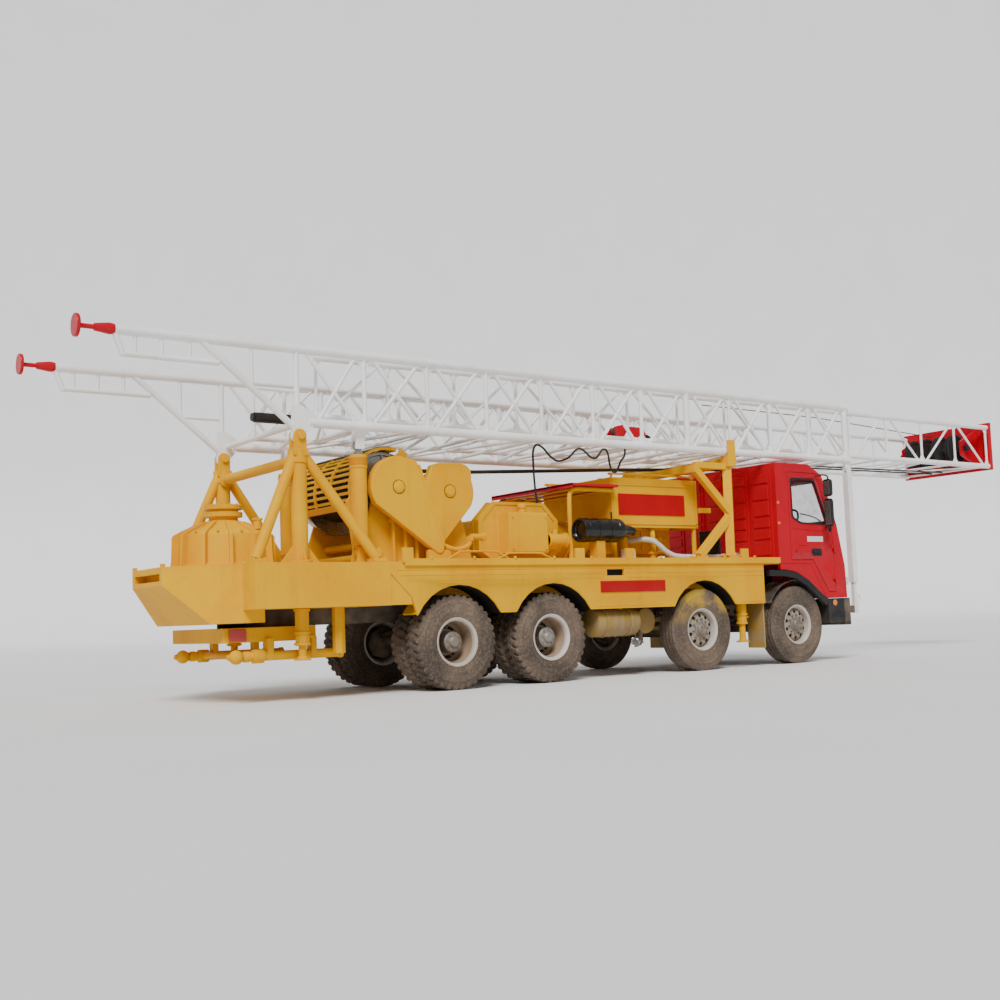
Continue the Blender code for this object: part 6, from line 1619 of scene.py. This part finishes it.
@dataclass
class Cab:
    """The cab with rounded corners, pressings, seals, glass, trim, mirrors and lamps."""

    shop: Workshop
    half: float = 1.20

    def window(self, grow: float) -> list:
        """The side window's outline, its corners cut round, larger by grow."""
        corners = [(5.93, 2.13), (5.93, 2.70), (6.44, 2.70), (6.69, 2.10), (6.66, 2.03), (6.10, 2.05)]
        return rounded(corners, 0.05, grow)

    def shell(self) -> None:
        """The shell with wide rounds along the roof, pillars and nose, and the rear wall's pressings."""
        def width(a: Vector, b: Vector) -> float:
            """The round's share of the widest one for an edge between two corners."""
            outer = abs(abs((a.y + b.y) / 2) - self.half) < 0.002 and abs(a.y - b.y) < 0.01
            high = (a.z + b.z) / 2
            ahead = (a.x + b.x) / 2 + CENTRE_X
            along = outer and (high > 2.84 or (ahead > 6.60 and high > 1.0 and abs(a.z - b.z) > 0.15
                                               and ahead > 6.78 - (high - 2.03) * 0.3))
            across = abs(a.y - b.y) > 2.0 and (high > 2.5 or (ahead > 6.9 and high > 1.2))
            if across and high > 2.9 and ahead > 6.0:
                return 1.0
            return 0.55 if along or across else 0.03
        self.shop.dress("cab_shell", Finishes.RED, bevel=0.10, width=width,
                        keep=((5.6002, 0, 0), (-1, 0, 0)))
        rows = []
        for y in (-1.12, -0.66, -0.20, 0.26, 0.72):
            rows.append(block((5.585, 5.602), (y, y + 0.40), (1.54, 2.86)))
            z = 1.58
            for height in (0.20, 0.13, 0.13, 0.20, 0.20, 0.14):
                rows.append(block((5.572, 5.588), (y + 0.05, y + 0.35), (z, z + height)))
                z += height + 0.04
        self.shop.fixed("cab_pressings", Finishes.RED, rows, bevel=0.007)
        self.shop.dress("windscreen", Finishes.GLASS)
        self.shop.dress("cab_interior", Finishes.TRIM, bevel=0.014)
        wipers = [pipe([(6.97, y, 2.05), (6.93, y + 0.18, 2.18), (6.90, y + 0.42, 2.26)], 24, 0.009, 10)
                  for y in (-0.95, -0.30, 0.35)]
        self.shop.fixed("wipers", Finishes.BLACK, wipers, crease=32)

    def doors(self) -> None:
        """Each door's panel without its mirror, seal, glass, handle, mirror head and arms."""
        for side in Side:
            node = f"door_{side.word}"
            body = self.shop.body(node)
            y = side.value * self.half
            push = side.value
            self.shop.dress(node, Finishes.RED, bevel=0.004,
                            keep=((0, y + push * 0.0235, 0), (0, push, 0)))
            outer = np.array(self.window(0.016))
            inner = np.array(self.window(-0.012))
            self.shop.piece(node + "_seal", body, Finishes.TRIM,
                            [loop(outer, inner, y - push * 0.008, y + push * 0.006)], crease=32)
            self.shop.piece(node + "_glass", body, Finishes.GLASS,
                            [slab(self.window(-0.006), y - push * 0.022, y - push * 0.026)])
            recess = slab(rounded([(6.32, 1.56), (6.54, 1.56), (6.54, 1.67), (6.32, 1.67)], 0.03, 0),
                          y - push * 0.002, y + push * 0.004)
            grip = slab(rounded([(6.34, 1.60), (6.50, 1.60), (6.50, 1.64), (6.34, 1.64)], 0.018, 0), y
                        + push * 0.004, y + push * 0.02)
            self.shop.piece(node + "_handle", body, Finishes.TRIM, [recess, grip], bevel=0.002)
            self.shop.piece(node + "_badge", body, Finishes.CLEAR,
                            [slab([(6.23, 1.77), (6.58, 1.77), (6.58, 1.85), (6.23, 1.85)], y, y
                                  + push * 0.004)], bevel=0.001)
            creases = bars([((5.90, y + push * 0.001, 1.97), (6.74, y + push * 0.001, 1.93), 0.006),
                            ((6.02, y + push * 0.001, 1.72), (6.22, y + push * 0.001, 1.72), 0.005)], 8)
            self.shop.piece(node + "_crease", body, Finishes.RED, [creases], crease=60)
            arms = [pipe([(6.46, y, 2.745), (6.52, y + push * 0.08, 2.765), (6.54, y + push * 0.18, 2.74),
                          (6.54, y + push * 0.19, 2.66)], 30, 0.012, 12),
                    pipe([(6.72, y, 2.00), (6.66, y + push * 0.08, 1.93), (6.56, y + push * 0.18, 1.93),
                          (6.54, y + push * 0.19, 2.0)], 30, 0.012, 12)]
            head = [mirror_head(y + push * 0.20, 1.98, 2.40), mirror_head(y + push * 0.20, 2.43, 2.69)]
            self.shop.piece(node + "_mirror", body, Finishes.TRIM, [*arms, *head], crease=40)
            panes = [block((6.493, 6.498), (y + push * 0.15, y + push * 0.25), span)
                     for span in ((2.01, 2.37), (2.46, 2.66))]
            self.shop.piece(node + "_mirror_glass", body, Finishes.STEEL, panes, bevel=0.002)

    def trim(self) -> None:
        """Arch strips, fenders, mudguards, bumper ends, grille, lamps and the visor."""
        arches, marks, clear = [], [], []
        fenders, guards = [], []
        for side in (-1, 1):
            y = side * 1.20
            edge = [(6.64, 0.90), (6.42, 1.04), (6.20, 1.20), (5.96, 1.315), (5.72, 1.35), (5.36, 1.36)]
            lower = [(5.36, 1.27), (5.70, 1.265), (5.91, 1.235), (6.13, 1.13), (6.34, 0.985),
                     (6.57, 0.82)]
            arches.append(slab(edge + lower, y - side * 0.05, y + side * 0.018))
            fenders.append(slab([(6.30, 1.4497), (6.64, 0.96), (6.64, 0.91), (6.42, 1.05), (6.20, 1.21),
                                 (5.96, 1.325), (5.72, 1.36), (5.62, 1.36), (5.62, 1.4497)],
                                y - side * 0.05, y - side * 0.004))
            guards.append(slab(arc((5.96, 0.56), 0.655, 150, 40, 40)
                               + arc((5.96, 0.56), 0.640, 40, 150, 40), side * 0.84, side * 1.17))
            arches += [block((6.62, 6.98), (y - side * 0.26, y + side * 0.008), (0.56, 0.92)),
                       block((6.70, 6.93), (y - side * 0.18, y + side * 0.015), (0.66, 0.70))]
            marks.append(slab(arc((6.77, 0.86), 0.045, 0, 360, 24)[:-1], y - side * 0.001, y
                              + side * 0.014))
            clear.append(block((7.10, 7.16), (side * 0.97, side * 1.17), (1.12, 1.24)))
            clear.append(block((7.125, 7.14), (side * 0.66, side * 1.08), (0.66, 0.84)))
        for z, y in ((2.02, -1.204), (2.32, -1.204)):
            marks.append(block((5.615, 5.66), (y, y + 0.02), (z, z + 0.04)))
        self.shop.fixed("cab_arches", Finishes.TRIM, arches, bevel=0.004, crease=40)
        self.shop.fixed("cab_fenders", Finishes.RED, fenders, bevel=0.003)
        self.shop.fixed("mudguards", Finishes.DARK, guards, bevel=0.004, crease=32)
        self.shop.fixed("cab_marks", Finishes.AMBER, marks, bevel=0.004)
        self.shop.fixed("head_lamps", Finishes.CLEAR, clear, bevel=0.006)
        grille = [block((7.072, 7.092), (-0.86, 0.86), (z, z + 0.022))
                  for z in np.arange(1.10, 1.40, 0.05)]
        self.shop.fixed("grille", Finishes.TRIM, grille, bevel=0.003)
        visor = slab([(6.62, 2.80), (6.90, 2.70), (6.905, 2.715), (6.63, 2.83)], -1.02, 1.02)
        self.shop.fixed("visor", Finishes.TRIM, [visor], bevel=0.004)
        self.shop.dress("bumper", Finishes.BLACK, bevel=0.012)

    def build(self) -> None:
        """Make the cab."""
        self.shell()
        self.doors()
        self.trim()


@dataclass
class Underside:
    """Frame, axles, mud flaps, fuel drum and silencer."""

    shop: Workshop

    def build(self) -> None:
        """Dress the frame's nodes and turn the drums."""
        for name in ("chassis_frame", "front_axles", "rear_bogie", "knuckle_1_right", "knuckle_1_left",
                     "knuckle_2_right", "knuckle_2_left"):
            self.shop.dress(name, Finishes.DARK, bevel=0.004, crease=50)
        drum = [(POLE, 2.16), (0.165, 2.16), (0.180, 2.168), (0.185, 2.18), (0.185, 2.42)]
        for x in (2.46, 2.58):
            drum += [(0.185, x - 0.02), (0.191, x - 0.008), (0.191, x + 0.008), (0.185, x + 0.02)]
        drum += [(0.185, 2.86), (0.180, 2.872), (0.165, 2.88), (POLE, 2.88)]
        parts = [turned(drum, (0, -1.0, 0.71), (1, 0, 0), 56),
                 rod(0.035, (2.60, -1.08, 0.87), (2.60, -1.09, 0.925), 24)]
        flaps = [block((5.195, 5.227), (side * 0.885, side * 1.195), (0.255, 0.99)) for side in (-1, 1)]
        self.shop.fixed("mud_flaps", Finishes.OLIVE, flaps, bevel=0.004)
        plates = []
        for x in (2.30, 2.70):
            parts.append(band((x + 0.02, -1.0, 0.71), (1, 0, 0), 0.185, 0.04, 0.010, 56))
            plates.append(block((x, x + 0.04), (-1.0, -FRAME_SIDE), (0.86, 0.92)))
        self.shop.fixed("fuel_drum", Finishes.OLIVE, parts, replaces=["fuel_tank"], crease=32)
        self.shop.fixed("fuel_drum_arms", Finishes.DARK, plates, bevel=0.004)
        can = [(POLE, -0.95), (0.15, -0.95), (0.166, -0.942), (0.17, -0.925), (0.17, -0.585),
               (0.166, -0.568), (0.15, -0.56), (POLE, -0.56)]
        pipe = smooth_path([(3.10, -0.85, 0.60), (3.05, -0.93, 0.52), (2.98, -1.02, 0.46),
                            (2.90, -1.08, 0.446), (2.84, -1.105, 0.435)], 40)
        tail = turned([(0.052, 0.0), (0.060, 0.0), (0.062, 0.004), (0.062, 0.095), (0.056, 0.10),
                       (0.050, 0.095), (0.050, 0.03)], (2.905, -1.082, 0.447), (-0.91, -0.34, -0.16), 32)
        self.shop.fixed("silencer_can", Finishes.OLIVE,
                        [turned(can, (3.18, 0, 0.71), (0, 1, 0), 56),
                         band((3.18, -0.66, 0.71), (0, 1, 0), 0.17, 0.04, 0.006, 56),
                         band((3.18, -0.86, 0.71), (0, 1, 0), 0.17, 0.04, 0.006, 56),
                         block((3.14, 3.22), (-0.70, -FRAME_SIDE), (0.84, 0.91))], replaces=["silencer"],
                        crease=32)
        self.shop.fixed("exhaust_pipe", Finishes.STEEL, [swept(pipe, even(0.05), 28), tail], crease=32)


@dataclass
class Rigging:
    """The mast post, taut lines, travelling block, tied lines and the loop cable."""

    shop: Workshop

    def build(self) -> None:
        """Make what hangs on the mast."""
        self.shop.dress("mast_post", Finishes.WHITE, bevel=0.008)
        hook = [pipe([(7.50, -1.04, 0.98), (7.56, -1.04, 0.95), (7.57, -1.04, 0.88), (7.52, -1.04, 0.84)],
                     24, 0.012, 12)]
        self.shop.piece("post_hook", self.shop.body("mast_post"), Finishes.WHITE, hook, crease=32)
        ropes = []
        for y, lift in ((-0.12, 0.0), (0.10, 0.012)):
            ropes.append(swept(np.array([(-0.5, y, 2.70 + lift), (1.05, y, 2.735 + lift),
                                         (3.67, y, 2.87 + lift), (6.07, y, 2.97 + lift),
                                         (7.40, y, 3.0 + lift)]), even(0.019), 10))
        self.shop.piece("taut_lines", "mast_lower", Finishes.ROPE, ropes, crease=60)
        self.shop.piece("taut_lines_upper", "mast_upper", Finishes.ROPE,
                        [swept(np.array([(7.3, y, 3.09), (8.86, y, 3.10), (11.28, y, 3.125)]),
                               even(0.013), 10) for y in (-0.12, 0.10)], crease=60)
        self.shop.piece("top_line", "mast_upper", Finishes.ROPE,
                        [swept(np.array([(5.4, 0.0, 3.95), (8.0, 0.0, 3.93), (11.2, 0.0, 3.78)]),
                               even(0.008), 10)], crease=60)
        cheeks = [slab(rounded([(3.52, 3.30), (4.02, 3.30), (4.12, 3.40), (4.02, 3.50), (3.52, 3.50)],
                               0.05, 0), y, y + 0.03) for y in (-0.12, 0.09)]
        self.shop.piece("travelling_block", "mast_upper", Finishes.RED, cheeks, bevel=0.006)
        wheels = [turned([(0.02, y - 0.02), (0.13, y - 0.02), (0.115, y), (0.13, y + 0.02),
                          (0.02, y + 0.02)], (3.72, 0, 3.40), (0, 1, 0), 36) for y in (-0.05, 0.0, 0.05)]
        hook = [pipe([(4.08, 0, 3.40), (4.20, 0, 3.40), (4.30, 0, 3.36), (4.34, 0, 3.28), (4.28, 0, 3.22),
                      (4.20, 0, 3.24)], 40, 0.026, 16)]
        self.shop.piece("travelling_sheaves", "mast_upper", Finishes.BLACK,
                        [*wheels, *hook, rod(0.03, (3.72, -0.13, 3.40), (3.72, 0.13, 3.40), 20)],
                        crease=32)
        bundles = []
        for x0, x1 in ((1.20, 1.64), (2.95, 3.26)):
            for k in range(3):
                a, b, y = x0 + 0.02 * k, x1 - 0.03 * k, -0.80 + 0.03 * k
                route = [(a, y, 3.10), ((a + b) / 2, y - 0.02, 3.115 + 0.01 * k), (b, y, 3.10)]
                bundles.append(pipe(route, 30, 0.014, 10))
        self.shop.piece("tied_lines", "mast_lower", Finishes.ROPE, bundles, crease=60)
        self.cable()

    def cable(self) -> None:
        """The cable that hangs in loops from the mast's lower chord."""
        route = [(1.49, 2.26), (1.465, 2.50), (1.455, 2.75), (1.46, 2.93), (1.52, 3.012), (1.62, 2.98),
                 (1.73, 2.88), (1.86, 2.82), (2.03, 2.87), (2.17, 2.98), (2.25, 3.00), (2.33, 2.96),
                 (2.42, 2.895), (2.51, 2.89), (2.57, 2.95), (2.625, 3.008), (2.69, 3.005), (2.725, 2.93),
                 (2.74, 2.83), (2.775, 2.735), (2.84, 2.715), (2.895, 2.78), (2.945, 2.87), (3.005, 2.93),
                 (3.024, 2.99), (3.024, 3.0401)]
        path = smooth_path([(x, -0.85, z) for x, z in route[::-1]], 240)
        item = self.shop.piece("loop_cable_skin", "mast_lower", Finishes.ROPE,
                               [swept(path, even(0.014), 14)], replaces=["loop_cable"], crease=60)
        points = [tuple(float(c) for c in point) for point in path - np.array([CENTRE_X, 0, 0])]
        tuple(points[0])


@dataclass
class Studio:
    """Pale floor, soft light and the camera at the photograph's place."""

    centre: Point = (-7.9592, -13.1668, 0.8356)
    yaw: float = 0.6362
    pitch: float = 0.0824
    roll: float = -0.0379
    focal: float = 1221.39
    middle: tuple[float, float] = (515.29, 515.20)
    image: int = 1000
    sensor: float = 36.0
    reach: float = 60.0
    behind: float = 90.0
    bend: float = 14.0
    wall: float = 60.0
    half_width: float = 120.0
    floor_z: float = -0.002
    sky: float = 0.42
    sun: Point = (-13, -16, 22)
    sun_spread: float = 22.0
    sun_power: float = 3.4

    def camera(self) -> None:
        """Place the camera from its angles: forward, right and up are unit vectors turned by the roll."""
        forward = Vector((math.sin(self.yaw) * math.cos(self.pitch),
                          math.cos(self.yaw) * math.cos(self.pitch), math.sin(self.pitch)))
        right = Vector((math.cos(self.yaw), -math.sin(self.yaw), 0))
        up = right.cross(forward)
        across = right * math.cos(self.roll) + up * math.sin(self.roll)
        over = up * math.cos(self.roll) - right * math.sin(self.roll)
        lens = bpy.data.cameras.new("camera")
        lens.sensor_width = self.sensor
        lens.lens = self.sensor * self.focal / self.image
        lens.shift_x = (self.image / 2 - self.middle[0]) / self.image
        lens.shift_y = (self.middle[1] - self.image / 2) / self.image
        lens.clip_end = 400
        item = bpy.data.objects.new("camera", lens)
        bpy.context.scene.collection.objects.link(item)
        turn = Matrix((across, over, -forward)).transposed().to_4x4()
        item.matrix_world = Matrix.Translation(Vector(self.centre) - Vector((CENTRE_X, 0, 0))) @ turn
        bpy.context.scene.camera = item

    def light(self, name: str, place: Point, spread: float, power: float) -> None:
        """Add one far, soft light.

        Args:
            name: the light's name.
            place: the place that it shines from, towards the origin.
            spread: how wide it looks, in degrees.
            power: watts a square metre.
        """
        lamp = bpy.data.lights.new(name, "SUN")
        lamp.angle = math.radians(spread)
        lamp.energy = power
        item = bpy.data.objects.new(name, lamp)
        bpy.context.scene.collection.objects.link(item)
        item.location = place
        item.rotation_euler = (-Vector(place)).to_track_quat("-Z", "Y").to_euler()

    def backdrop(self) -> Mesh:
        """A floor that curves up into a wall, square to the camera.

        Row s of the sheet follows the floor, a quarter circle and the wall; column t runs across.
        """
        reach, bend = self.reach, self.bend
        turn = np.linspace(0, np.pi / 2, 25)
        ahead = np.concatenate([[-self.behind], reach + bend * np.sin(turn), [reach + bend]])
        up = np.concatenate([[self.floor_z], bend - bend * np.cos(turn) + self.floor_z, [self.wall]])
        across = np.linspace(-self.half_width, self.half_width, 5)
        forward = np.array([math.sin(self.yaw), math.cos(self.yaw)])
        right = np.array([forward[1], -forward[0]])
        plan = ahead[:, None, None] * forward + across[None, :, None] * right
        points = np.concatenate([plan, np.repeat(up[:, None], len(across), 1)[..., None]], -1)
        faces = grid_faces(len(ahead), len(across), False)
        return points.reshape(-1, 3), [face[::-1] for face in faces]

    def build(self) -> None:
        """Make the floor, the even sky, the sun and the camera."""
        points, faces = self.backdrop()
        mesh = bpy.data.meshes.new("floor")
        mesh.from_pydata(points, [], faces)
        mesh.polygons.foreach_set("use_smooth", np.ones(len(mesh.polygons), bool))
        floor = bpy.data.objects.new("floor", mesh)
        bpy.context.scene.collection.objects.link(floor)
        web = Web("floor")
        tone = web.noise(0.4, 3.0).step(0.3, 0.7)
        web.feed(web.shader.inputs["Base Color"], web.mix(tone, (0.84, 0.84, 0.84), (0.82, 0.82, 0.82)))
        web.shader.inputs["Roughness"].default_value = 0.95
        mesh.materials.append(web.material)
        world = bpy.data.worlds.new("studio")
        world.use_nodes = True
        sky = world.node_tree.nodes["Background"]
        sky.inputs["Color"].default_value = (1.0, 1.0, 1.0, 1.0)
        sky.inputs["Strength"].default_value = self.sky
        bpy.context.scene.world = world
        self.light("key", self.sun, self.sun_spread, self.sun_power)
        self.camera()


def main() -> None:
    """Build every sub-assembly in order."""
    logging.basicConfig(level=logging.INFO)
    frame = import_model()
    shop = Workshop(frame)
    Wheels(shop).build()
    Mast(shop).build()
    Supports(shop).build()
    Stern(shop).build()
    Drawworks(shop).build()
    Power(shop).build()
    Gantry(shop).build()
    Cab(shop).build()
    Underside(shop).build()
    Rigging(shop).build()
    Studio().build()
    bpy.context.view_layer.update()
    LOG.info("%d pieces", shop.count)


if __name__ == "__main__":
    main()
